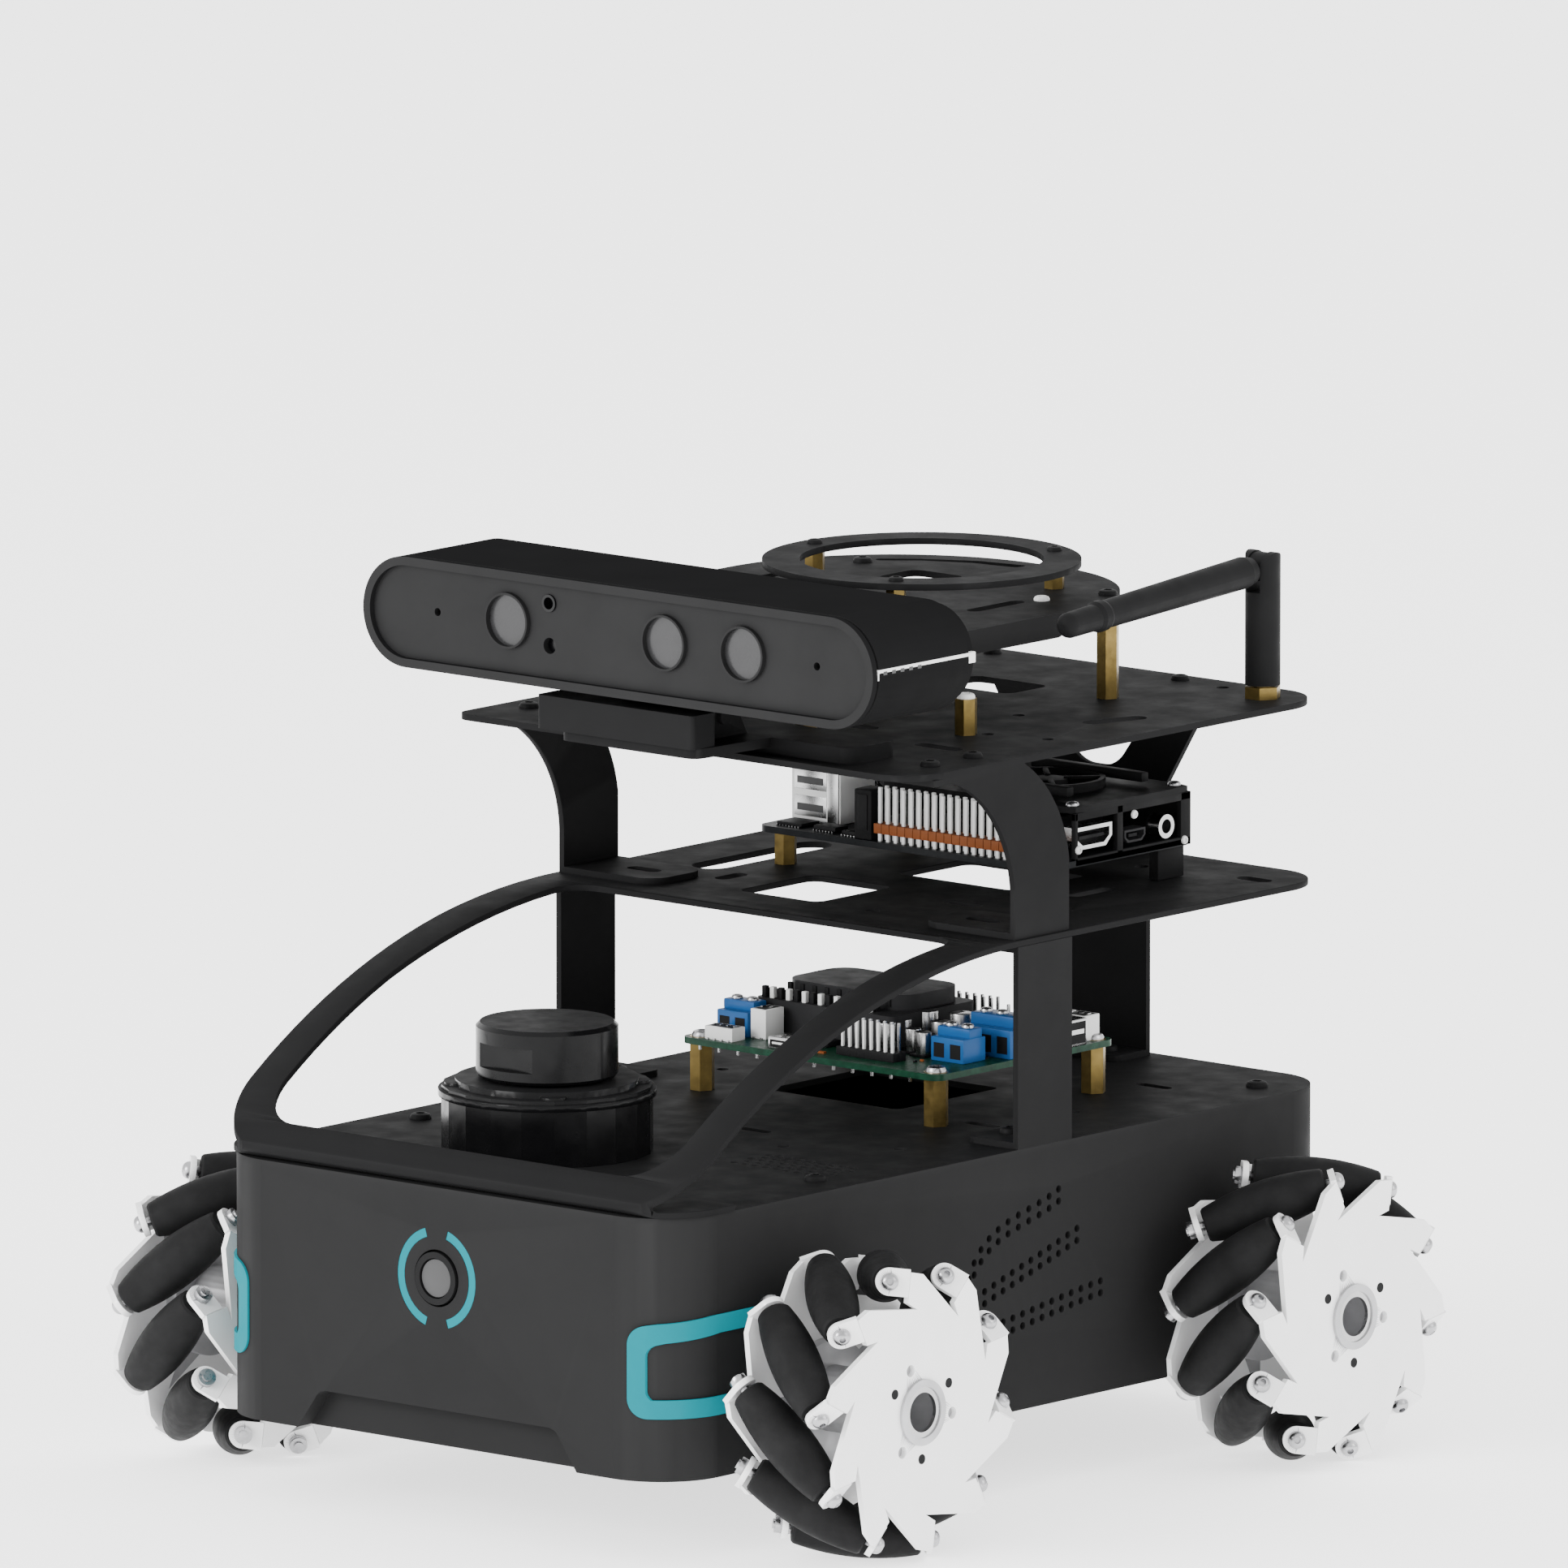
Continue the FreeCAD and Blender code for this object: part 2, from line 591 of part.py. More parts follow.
shelf = prism("shelf", rounded(
    [(-64.5, -4), (43, -4), (43, 110.5), (-64.5, 110.5)], [40, 6, 48, 54]),
    shelf_z - sheet, "sheet", "xy", shelf_holes)
shelf_flange = prism("shelf_flange", rounded(
    [(4, shelf_z - 6), (59, shelf_z - 6), (61, shelf_z), (4, shelf_z)], [4, 4, 0, 0]),
    43 - sheet, "sheet", "yz")
shelf_tray = fuse("shelf_tray", [shelf, shelf_flange])
ring = prism("ring", [circle(0, ring_y, val("ring_outer"))], ring_z - sheet, "sheet", "xy",
             [[circle(0, ring_y, val("ring_inner"))]])
sub_part("ring_mount", group("ring_mount", [shelf_tray, ring]))

# ---------------------------------------------------------------- brass standoffs and aerial socket
board_low = val("board_top") - 1.6
BOARD_POSTS = [(-38, 16), (38, 16), (-38, 76), (38, 76)]
COMPUTER_POSTS = [(-40, 50), (42, 50), (-40, 98), (42, 98)]
computer_low = val("computer_base")
brass = []
for tag, spots, low, high, flats in (
        ("shelf", SHELF_POSTS, top_z, shelf_z - sheet, 5.0),
        ("stub", STUB_POSTS, top_z, top_z + 9, 5.0),
        ("ring", RING_POSTS, shelf_z, ring_z - sheet, 4.5),
        ("board", BOARD_POSTS, deck_z, board_low, 5.5),
        ("computer", COMPUTER_POSTS, mid_z, computer_low, 5.0)):
    for i, (x, y) in enumerate(spots):
        brass.append(hexagon("post_%s_%d" % (tag, i), (x, y, low), flats, high - low))
aerial_x = val("aerial_x")
aerial_y = val("aerial_y")
aerial_pivot = val("aerial_pivot")
socket = fuse("aerial_socket", [
    hexagon("aerial_nut", (aerial_x, aerial_y, top_z), 8, 3),
    rod("aerial_barrel", (aerial_x, aerial_y, top_z), 3.1, 6.5)])
brass.append(socket)
sub_part("brass_fittings", group("brass_fittings", brass))

# ---------------------------------------------------------------- aerial
AERIAL_RADIUS = 4.4
sleeve = rod("sleeve", (aerial_x, aerial_y, top_z + 3.4), AERIAL_RADIUS, aerial_pivot - top_z - 3.4 - 6)
sleeve_bore = rod("sleeve_bore", (aerial_x, aerial_y, top_z + 3), 3.3, 4)
fork_tine = []
for side in (-1, 1):
    fork_tine.append(prism("aerial_tine_%d" % (side > 0), [
        Part.LineSegment(Vector(aerial_y - 4, aerial_pivot - 9, 0),
                         Vector(aerial_y + 4, aerial_pivot - 9, 0)),
        Part.LineSegment(Vector(aerial_y + 4, aerial_pivot - 9, 0), Vector(aerial_y + 4, aerial_pivot, 0)),
        Part.Arc(Vector(aerial_y + 4, aerial_pivot, 0), Vector(aerial_y, aerial_pivot + 4, 0),
                 Vector(aerial_y - 4, aerial_pivot, 0)),
        Part.LineSegment(Vector(aerial_y - 4, aerial_pivot, 0), Vector(aerial_y - 4, aerial_pivot - 9, 0)),
    ], aerial_x + side * 3.3 - 1.1, 2.2, "yz"))
tine_trim = rod("aerial_tine_trim", (aerial_x, aerial_y, aerial_pivot - 12), AERIAL_RADIUS, 20)
aerial_tines = common("aerial_tines", fuse("aerial_tine_pair", fork_tine), tine_trim)
aerial_pin = rod("aerial_pin", (aerial_x - 3.4, aerial_y, "aerial_pivot"), 1.2, 6.8, "x")
aerial_base = cut("aerial_base", fuse("aerial_stem", [sleeve, aerial_tines, aerial_pin]), [sleeve_bore])
sub_part("antenna_base", aerial_base)

aerial_reach = val("aerial_reach")
DROOP = math.radians(4)
knuckle = rod("knuckle", (aerial_x - 2, aerial_y, "aerial_pivot"), 3.7, 4, "x")
whip = turned("whip", [
    Part.LineSegment(Vector(0, 1.7, 0), Vector(1.8, 1.7, 0)),
    Part.LineSegment(Vector(1.8, 1.7, 0), Vector(1.8, 5.2, 0)),
    Part.LineSegment(Vector(1.8, 5.2, 0), Vector(3.4, 5.2, 0)),
    Part.LineSegment(Vector(3.4, 5.2, 0), Vector(4.0, 8, 0)),
    Part.LineSegment(Vector(4.0, 8, 0), Vector(3.5, aerial_reach - 16, 0)),
    Part.LineSegment(Vector(3.5, aerial_reach - 16, 0), Vector(3.9, aerial_reach - 15, 0)),
    Part.LineSegment(Vector(3.9, aerial_reach - 15, 0), Vector(3.9, aerial_reach - 13, 0)),
    Part.LineSegment(Vector(3.9, aerial_reach - 13, 0), Vector(3.3, aerial_reach - 12, 0)),
    Part.LineSegment(Vector(3.3, aerial_reach - 12, 0), Vector(3.2, aerial_reach - 3.0, 0)),
    Part.Arc(Vector(3.2, aerial_reach - 3.0, 0), Vector(2.5, aerial_reach - 0.9, 0),
             Vector(0.8, aerial_reach, 0)),
    Part.LineSegment(Vector(0.8, aerial_reach, 0), Vector(0, aerial_reach, 0)),
    Part.LineSegment(Vector(0, aerial_reach, 0), Vector(0, 1.7, 0)),
])
whip.Placement = Placement(
    Vector(aerial_x, aerial_y, aerial_pivot), Rotation(Vector(1, 0, 0), 90 + math.degrees(DROOP)))
aerial_rod = cut("aerial_rod", fuse("aerial_arm", [knuckle, whip]), [
    rod("knuckle_bore", (aerial_x - 3, aerial_y, "aerial_pivot"), 1.35, 6, "x")])
sub_part("antenna_rod", aerial_rod)

# ---------------------------------------------------------------- scanner
lidar_x = val("lidar_x")
lidar_y = val("lidar_y")
lidar_height = val("lidar_base_height")
base_radius = val("lidar_base_radius")
facets = [
    (base_radius * math.cos(math.radians(18 * i + 9)), base_radius * math.sin(math.radians(18 * i + 9)))
    for i in range(20)]
lidar_drum = prism("lidar_drum", rounded(
    [(lidar_x + x, lidar_y + y) for x, y in facets], 0), deck_z, "lidar_base_height - 1.6")
lidar_cap = rod("lidar_cap", ("lidar_x", "lidar_y", deck_z), "lidar_base_radius - 3.4", "lidar_base_height")
lidar_lip = rod(
    "lidar_lip", ("lidar_x", "lidar_y", deck_z + lidar_height - 4.2), "lidar_base_radius + 0.8", 1.6)
lidar_lugs = [
    rod("lidar_lug_%d" % i, (lidar_x + 22 * math.cos(math.radians(a)),
                             lidar_y + 22 * math.sin(math.radians(a)), deck_z), 3.2,
        "lidar_base_height - 1") for i, a in enumerate((45, 135, 225, 315))]
lidar_spigot_hole = rod(
    "lidar_well", ("lidar_x", "lidar_y", deck_z + lidar_height - 6), 6.3, 8)
lidar_base = cut("lidar_drum_cut", fuse(
    "lidar_drum_all", [lidar_drum, lidar_cap, lidar_lip] + lidar_lugs), [lidar_spigot_hole])
sub_part("lidar_base", lidar_base)
head_radius = val("lidar_head_radius")
head_low = deck_z + lidar_height + 0.6
lidar_head = turned("lidar_turret", [
    Part.LineSegment(Vector(0, -5.2, 0), Vector(6, -5.2, 0)),
    Part.LineSegment(Vector(6, -5.2, 0), Vector(6, 0, 0)),
    Part.LineSegment(Vector(6, 0, 0), Vector(head_radius - 0.6, 0, 0)),
    Part.LineSegment(Vector(head_radius - 0.6, 0, 0), Vector(head_radius, 0.8, 0)),
    Part.LineSegment(Vector(head_radius, 0.8, 0), Vector(head_radius, val("lidar_head_height") - 1, 0)),
    Part.LineSegment(Vector(head_radius, val("lidar_head_height") - 1, 0),
                     Vector(head_radius - 1, val("lidar_head_height"), 0)),
    Part.LineSegment(Vector(head_radius - 1, val("lidar_head_height"), 0),
                     Vector(0, val("lidar_head_height"), 0)),
    Part.LineSegment(Vector(0, val("lidar_head_height"), 0), Vector(0, -5.2, 0)),
])
lidar_head.Placement = Placement(Vector(lidar_x, lidar_y, head_low), Rotation())
window_cut = box("lidar_slit", (lidar_x - 9, lidar_y - head_radius - 1, head_low + 3), (18, 3.2, 6))
lidar_head_cut = cut("lidar_head_cut", lidar_head, [window_cut])
sub_part("lidar_head", lidar_head_cut)

# ---------------------------------------------------------------- power button and lights
button_low = -half_length - 0.6
button = fuse("button", [
    rod("button_cap", (0, button_low, "button_height"), "button_radius", 6.4, "y"),
    rod("button_collar", (0, button_low + 4.6, "button_height"), "button_radius + 1.4", 1.8, "y")])
sub_part("power_button", button)

lamp_parts = []
for side in (-1, 1):
    lamp_parts.append(halo_arc(
        "halo_%d" % (side > 0), side, val("halo_outer"), val("halo_inner"),
        half_length - LAMP_WALL, "0.9"))
LOOP_FRONT = 61.5
LOOP_REAR = -73.0
LOOP_LOW = 35.6
skin_ring = cut("loop_ring", prism("loop_skin", chassis_outline(-0.7), LOOP_LOW - 2, 32),
                [prism("loop_core", chassis_outline(0), LOOP_LOW - 3, 34)])
for side in (-1, 1):
    tag = "pos" if side > 0 else "neg"
    near = min(side * LOOP_FRONT, side * 78)
    outer_side = prism("loop_outer_side_" + tag, rounded([
        (-139, LOOP_LOW), (LOOP_REAR, LOOP_LOW), (LOOP_REAR, 62), (-104, 61), (-127, 58.6), (-139, 57.5)],
        [0, 6, 7, 30, 10, 0]), near, 78 - LOOP_FRONT, "yz")
    outer_front = prism("loop_outer_front_" + tag, rounded([
        (side * LOOP_FRONT, LOOP_LOW), (side * 90, LOOP_LOW), (side * 90, 63), (side * LOOP_FRONT, 57.8)],
        [5, 0, 0, 5]), 60, 80, "xz")
    inner_side = prism("loop_inner_side_" + tag, rounded([
        (-139, LOOP_LOW + 4.6), (LOOP_REAR - 4.6, LOOP_LOW + 4.6), (LOOP_REAR - 4.6, 57.4),
        (-104, 56.4), (-127, 53.8), (-139, 52.6)],
        [0, 3, 4, 30, 10, 0]), side * 61 - 17, 34, "yz")
    inner_front = prism("loop_inner_front_" + tag, rounded([
        (side * (LOOP_FRONT + 4.4), LOOP_LOW + 4), (side * 91, LOOP_LOW + 4), (side * 91, 60),
        (side * (LOOP_FRONT + 4.4), 53.2)], [3, 0, 0, 3]), 59, 82, "xz")
    band_piece = common("loop_band_" + tag, skin_ring, common("loop_zone_" + tag, outer_side, outer_front))
    axle_gap = rod("loop_axle_gap_" + tag, (side * 84 - 12, -val("wheel_base") / 2, "wheel_axis_height"),
                   4.4, 24, "x")
    loop_void = common("loop_void_" + tag, inner_side, inner_front)
    lamp_parts.append(cut("loop_" + tag, band_piece, [loop_void, axle_gap]))
sub_part("lights", group("lights", lamp_parts))

# ---------------------------------------------------------------- mecanum wheels
# A wheel is drawn about its own axle: local +Z points away from the chassis and roller 0
# is centred on local +X.  hand is +1 when each roller leans towards growing angles.
COUNT = int(val("roller_count"))
STEP = 360.0 / COUNT
ORBIT = val("roller_orbit")
HALF_GAP = val("plate_half_gap")
PLATE = val("plate_sheet")
EAR = val("ear_station")
EAR_RADIUS = val("ear_radius")
LEAN = math.sqrt(0.5)
TOOTH = [(25.6, -23.5), (34.0, 8.1), (35.2, 15.3), (28.0, 19.4)]


def polar(radius, degrees):
    angle = math.radians(degrees)
    return (radius * math.cos(angle), radius * math.sin(angle))


def roller_frame(hand, index):
    """Centre, axis and outward direction of one roller in its wheel."""
    angle = math.radians(STEP * index)
    outward = Vector(math.cos(angle), math.sin(angle), 0)
    along = Vector(-math.sin(angle), math.cos(angle), 0)
    axis = (Vector(0, 0, 1) + along * hand) * LEAN
    return outward * ORBIT, axis, outward


def ear(name, hand, flag, index):
    """Bent tab of a wheel plate that carries one end of a roller axle."""
    centre, axis, outward = roller_frame(hand, index)
    face = axis * flag
    angle = math.radians(STEP * index)
    along = Vector(-math.sin(angle), math.cos(angle), 0)
    reach = (Vector(0, 0, -flag) + along * (hand * flag)) * LEAN
    normal = reach.cross(outward)
    start = EAR if normal.dot(face) > 0 else EAR + PLATE
    root = -4.88
    sketch = doc.addObject("Sketcher::SketchObject", name + "_outline")
    sketch.addGeometry([
        Part.LineSegment(Vector(root, -EAR_RADIUS, 0), Vector(0, -EAR_RADIUS, 0)),
        Part.Arc(Vector(0, -EAR_RADIUS, 0), Vector(EAR_RADIUS, 0, 0), Vector(0, EAR_RADIUS, 0)),
        Part.LineSegment(Vector(0, EAR_RADIUS, 0), Vector(root, EAR_RADIUS, 0)),
        Part.LineSegment(Vector(root, EAR_RADIUS, 0), Vector(root, -EAR_RADIUS, 0)),
        circle(0, 0, 1.35)], False)
    sketch.Placement = Placement(centre + face * start, Rotation(reach, outward, normal, "XYZ"))
    thing = doc.addObject("Part::Extrusion", name)
    thing.Base = sketch
    thing.DirMode = "Custom"
    thing.Dir = normal
    thing.Solid = True
    bind(thing, "LengthFwd", "plate_sheet")
    return thing


def wheel_plate(name, hand, flag):
    """Saw-toothed side plate with one bent ear per roller; flag is +1 for the outer plate."""
    spots = []
    for index in range(COUNT):
        for radius, degrees in TOOTH:
            spots.append(polar(radius, (degrees + STEP * index) * hand * flag))
    start = HALF_GAP if flag > 0 else -HALF_GAP - PLATE
    holes = [[circle(0, 0, 6.3)]]
    for degrees in (30, 150, 270):
        x, y = polar(11.5, degrees)
        holes.append([circle(x, y, 1.5)])
    disc = prism(name + "_disc", rounded(spots, 0), start, "plate_sheet", "xy", holes)
    ears = [ear("%s_ear_%d" % (name, i), hand, flag, i) for i in range(COUNT)]
    return fuse(name, [disc] + ears)


def axle_screw(name, hand, index):
    """Screw with a domed head outside one ear and a lock nut outside the other."""
    centre, axis, outward = roller_frame(hand, index)
    grip = EAR + PLATE
    profile = turned(name, [
        Part.LineSegment(Vector(0, -grip - 2.2, 0), Vector(1.2, -grip - 2.2, 0)),
        Part.LineSegment(Vector(1.2, -grip - 2.2, 0), Vector(1.2, -grip - 1.7, 0)),
        Part.LineSegment(Vector(1.2, -grip - 1.7, 0), Vector(2.2, -grip - 1.7, 0)),
        Part.LineSegment(Vector(2.2, -grip - 1.7, 0), Vector(2.2, -grip, 0)),
        Part.LineSegment(Vector(2.2, -grip, 0), Vector(1.2, -grip, 0)),
        Part.LineSegment(Vector(1.2, -grip, 0), Vector(1.2, grip, 0)),
        Part.LineSegment(Vector(1.2, grip, 0), Vector(2.2, grip, 0)),
        Part.Arc(Vector(2.2, grip, 0), Vector(1.7, grip + 1.3, 0), Vector(0.8, grip + 1.8, 0)),
        Part.LineSegment(Vector(0.8, grip + 1.8, 0), Vector(0.8, grip + 0.8, 0)),
        Part.LineSegment(Vector(0.8, grip + 0.8, 0), Vector(0, grip + 0.8, 0)),
        Part.LineSegment(Vector(0, grip + 0.8, 0), Vector(0, -grip - 2.2, 0)),
    ])
    profile.Placement = Placement(centre, Rotation(Vector(0, 0, 1), axis))
    return profile


def wheel_hub(name):
    blanks = [
        rod(name + "_barrel", (0, 0, -HALF_GAP), 8.15, 2 * HALF_GAP),
        rod(name + "_outer_flange", (0, 0, HALF_GAP - 3), 14.5, 3),
        rod(name + "_inner_flange", (0, 0, -HALF_GAP), 14.5, 3),
        rod(name + "_neck", (0, 0, -HALF_GAP - 9.3), 5.0, 10),
        rod(name + "_shaft", (0, 0, -HALF_GAP - 21), 2.0, 14),
    ]
    recess = rod(name + "_recess", (0, 0, 4), 6.3, HALF_GAP)
    return cut(name, fuse(name + "_blank", blanks), [recess])


def hub_ring(name):
    ring_blank = rod(name + "_blank", (0, 0, HALF_GAP + PLATE), 8.15, 0.8)
    return cut(name, ring_blank, [rod(name + "_bore", (0, 0, HALF_GAP), 6.3, 6)])


def wheel_parts(tag, hand):
    things = [wheel_plate("plate_out_" + tag, hand, 1), wheel_plate("plate_in_" + tag, hand, -1)]
    things += [wheel_hub("hub_" + tag), hub_ring("bore_ring_" + tag)]
    things += [axle_screw("axle_%s_%d" % (tag, i), hand, i) for i in range(COUNT)]
    return things


half_roller = val("roller_length") / 2
roller_top = val("wheel_radius") - ORBIT
roller_end = val("roller_end_radius")
bore = val("roller_bore")


def roller_profile():
    return [
        Part.LineSegment(Vector(bore, -half_roller, 0), Vector(roller_end - 0.5, -half_roller, 0)),
        Part.LineSegment(Vector(roller_end - 0.5, -half_roller, 0), Vector(roller_end, 0.5 - half_roller, 0)),
        Part.Arc(Vector(roller_end, 0.5 - half_roller, 0), Vector(roller_top, 0, 0),
                 Vector(roller_end, half_roller - 0.5, 0)),
        Part.LineSegment(Vector(roller_end, half_roller - 0.5, 0), Vector(roller_end - 0.5, half_roller, 0)),
        Part.LineSegment(Vector(roller_end - 0.5, half_roller, 0), Vector(bore, half_roller, 0)),
        Part.LineSegment(Vector(bore, half_roller, 0), Vector(bore, -half_roller, 0)),
    ]


HAND_PARTS = {1: wheel_parts("a", 1), -1: wheel_parts("b", -1)}
WHEELS = [("fl", 1, -1), ("fr", -1, -1), ("rl", 1, 1), ("rr", -1, 1)]
PHASE = val("roller_phase")
for tag, side, end in WHEELS:
    hand = -side * end
    facing = Rotation(Vector(0, 1, 0), Vector(0, 0, side), Vector(side, 0, 0), "XYZ")
    seat = Placement(Vector(side * val("wheel_plane"), end * wheel_y, axis_z), facing)
    seat = seat.multiply(Placement(Vector(), Rotation(Vector(0, 0, 1), PHASE * side)))
    sub_part("wheel_" + tag, group("wheel_" + tag, HAND_PARTS[hand], seat))
    for index in range(COUNT):
        centre, axis, outward = roller_frame(hand, index)
        roller = turned("roller_%s_%d" % (tag, index), roller_profile())
        roller.Placement = seat.multiply(Placement(centre, Rotation(Vector(0, 0, 1), axis)))
        sub_part("roller_%s_%d" % (tag, index), roller)

# ---------------------------------------------------------------- gearmotors and battery
drive = []
for tag, side, end in WHEELS:
    shell = rod("motor_can_" + tag, (side * 20 if side > 0 else -50, end * wheel_y, axis_z), 12.2, 30, "x")
    gearbox = rod("gearbox_" + tag, (50 if side > 0 else -72.6, end * wheel_y, axis_z), 12.5, 22.6, "x")
    well = rod("gearbox_bore_" + tag, (58 if side > 0 else -74, end * wheel_y, axis_z), 2.4, 16, "x")
    cradle = box("cradle_" + tag, (56 if side > 0 else -70, end * wheel_y - 15, floor_z + wall),
                 (14, 30, axis_z - floor_z - wall))
    drive.append(cut("motor_" + tag, fuse("motor_blank_" + tag, [shell, gearbox, cradle]), [well]))
battery = prism("battery", rounded([(-35, -56), (35, -56), (35, 56), (-35, 56)], 5), floor_z + wall, 26)
drive.append(battery)
drive.append(box("button_switch", (-7, -119.2, val("button_height") - 7), (14, 9, 14)))
drive.append(box("switch_bracket", (-9, -110.2, floor_z + wall), (18, 2, val("button_height") - 14)))
sub_part("drive_units", group("drive_units", drive))

# ---------------------------------------------------------------- control board on the lid
board_top = val("board_top")
board_holes = [[circle(x, y, 1.7)] for x, y in BOARD_POSTS]
board = prism("board", rounded([(-42, 12), (42, 12), (42, 80), (-42, 80)], 3), board_low, 1.6, "xy",
              board_holes)
blocks = []
BOARD_BLOCKS = [
    ("power_jack", -41, 19, 9, 9, 10), ("screw_terminal", 28, 16, 12, 10, 9.5),
    ("heat_block", -30, 60, 44, 16, 11), ("driver_1", -26, 30, 9, 9, 2.2), ("driver_2", -12, 30, 9, 9, 2.2),
    ("coil", 0, 24, 8, 8, 5), ("header_a", -12, 14, 22, 5, 8.5), ("header_b", 14, 26, 5, 20, 8.5),
    ("servo_rail", 22, 52, 16, 8, 8), ("usb_a", 30, 62, 12, 13, 7), ("motor_plug_1", -40, 30, 7, 9, 6.5),
    ("motor_plug_2", -40, 44, 7, 9, 6.5), ("cpu", -8, 44, 12, 12, 1.6), ("back_terminal", -40, 68, 8, 9, 9),
]
for name, x, y, width, depth, height in BOARD_BLOCKS:
    blocks.append(box(name, (x, y, board_top), (width, depth, height)))
for i, (x, y) in enumerate(((9, 40), (9, 50), (2, 36), (20, 30), (-20, 22))):
    blocks.append(rod("capacitor_%d" % i, (x, y, board_top), 2.6, 6.5))
for i in range(7):
    blocks.append(box("fin_%d" % i, (-29 + i * 6.4, 60.5, board_top + 11), (2.4, 15, 4)))
sub_part("control_board", fuse("control_board", [board] + blocks))

# ---------------------------------------------------------------- computer on the mid plate
case_low = computer_low
tray = prism("tray", rounded([(-46, 46), (48, 46), (48, 102), (-46, 102)], 3), case_low, 1.6, "xy",
             [[circle(x, y, 1.4)] for x, y in COMPUTER_POSTS])
case_parts = [tray]
tray_top = case_low + 1.6
HEADER_X = -8.5
PIN_PITCH = 2.54
PIN_COUNT = 20
CASE_BLOCKS = [
    ("header_strip", HEADER_X, 46.4, 0, 50.8, 5.0, 4.5), ("header_end", -15, 46.4, 0, 6.2, 6, 12.6),
    ("usb_stack", -45, 58, 0, 17, 28, 14.6), ("network_jack", -45, 88, 0, 18, 12, 13),
    ("video_port", 34, 56, 1.6, 13.8, 15, 5.6), ("power_port", 38, 76, 0, 9.6, 9, 3.6),
    ("audio_port", 38, 88, 0, 9.6, 7, 5.6), ("heat_sink", -12, 62, 0, 38, 32, 9),
    ("fan_frame", 4, 63, 11, 36, 32, 7.2), ("foot_rear", 45.3, 90, -9.6, 2.5, 10, 9),
]
for name, x, y, lift, width, depth, height in CASE_BLOCKS:
    case_parts.append(box(name, (x, y, tray_top + lift), (width, depth, height)))
for i in range(PIN_COUNT):
    pin_x = HEADER_X + (i + 0.32) * PIN_PITCH
    case_parts.append(box("pin_%d" % i, (pin_x, 48.4, tray_top), (0.9, 0.9, 13.4)))
cover = prism(
    "case_cover", rounded([(-18, 57), (48, 57), (48, 101.6), (-18, 101.6)], 2), case_low + 13.2, 1.6,
    "xy", [[circle(21, 79, 12.5)]])
walls = [
    box("case_side", (46.4, 57.5, case_low), (1.4, 43, 14)),
    box("case_rear", (-17, 100, case_low), (64, 1.4, 14)),
]
side_ports = [
    box("port_opening_1", (44, 55, case_low + 2.6), (5, 17, 8)),
    box("port_opening_2", (44, 75, case_low + 1.8), (5, 22, 9)),
]
fan_bore = rod("fan_bore", (21, 79, tray_top + 10), 12.5, 12)
case_shell = cut("case_shell", fuse("case_blank", [cover] + walls), side_ports)
sub_part("computer", cut("computer", fuse("computer_blank", case_parts + [case_shell]), [fan_bore]))

# ---------------------------------------------------------------- checks and export
doc.recompute()
faults = []
for thing in doc.Objects:
    if "Invalid" in thing.State or "Error" in thing.State:
        faults.append((thing.Name, thing.State))
for label, thing in SUB_PARTS:
    if thing.Shape.isNull() or not thing.Shape.isValid() or not thing.Shape.Solids:
        faults.append((label, "bad shape"))
if faults:
    raise RuntimeError("faults: %s" % faults)
whole = FreeCAD.BoundBox()
for label, thing in SUB_PARTS:
    thing.Shape.exportStep("parts/%s.step" % label)
    whole.add(thing.Shape.BoundBox)
print("sub-parts", len(SUB_PARTS), "box", whole)
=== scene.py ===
import json
import math
import random

import bmesh
import bpy
from mathutils import Matrix, Vector


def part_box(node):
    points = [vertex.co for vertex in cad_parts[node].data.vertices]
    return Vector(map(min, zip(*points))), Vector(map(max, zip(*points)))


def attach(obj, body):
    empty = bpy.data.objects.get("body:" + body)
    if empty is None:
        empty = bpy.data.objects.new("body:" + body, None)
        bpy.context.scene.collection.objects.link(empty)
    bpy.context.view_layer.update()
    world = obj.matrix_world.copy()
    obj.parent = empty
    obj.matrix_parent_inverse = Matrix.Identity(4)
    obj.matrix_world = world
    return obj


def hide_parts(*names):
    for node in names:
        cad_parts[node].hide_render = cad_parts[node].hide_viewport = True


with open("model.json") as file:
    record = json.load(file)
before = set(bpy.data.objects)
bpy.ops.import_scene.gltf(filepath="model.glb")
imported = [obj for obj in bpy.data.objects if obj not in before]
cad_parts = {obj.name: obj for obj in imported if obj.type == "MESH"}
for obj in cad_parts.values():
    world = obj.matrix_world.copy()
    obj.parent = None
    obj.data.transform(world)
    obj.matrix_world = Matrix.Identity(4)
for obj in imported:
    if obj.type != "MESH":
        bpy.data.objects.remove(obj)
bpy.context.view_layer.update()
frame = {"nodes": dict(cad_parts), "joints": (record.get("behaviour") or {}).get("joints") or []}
random.seed(7)

MM = 0.001
NODES = frame["nodes"]


# ------------------------------------------------------------------ materials
def new_material(name):
    """Material with an empty Principled shader, and helpers to wire nodes into it."""
    material = bpy.data.materials.new(name)
    material.use_nodes = True
    return material, material.node_tree, material.node_tree.nodes["Principled BSDF"]


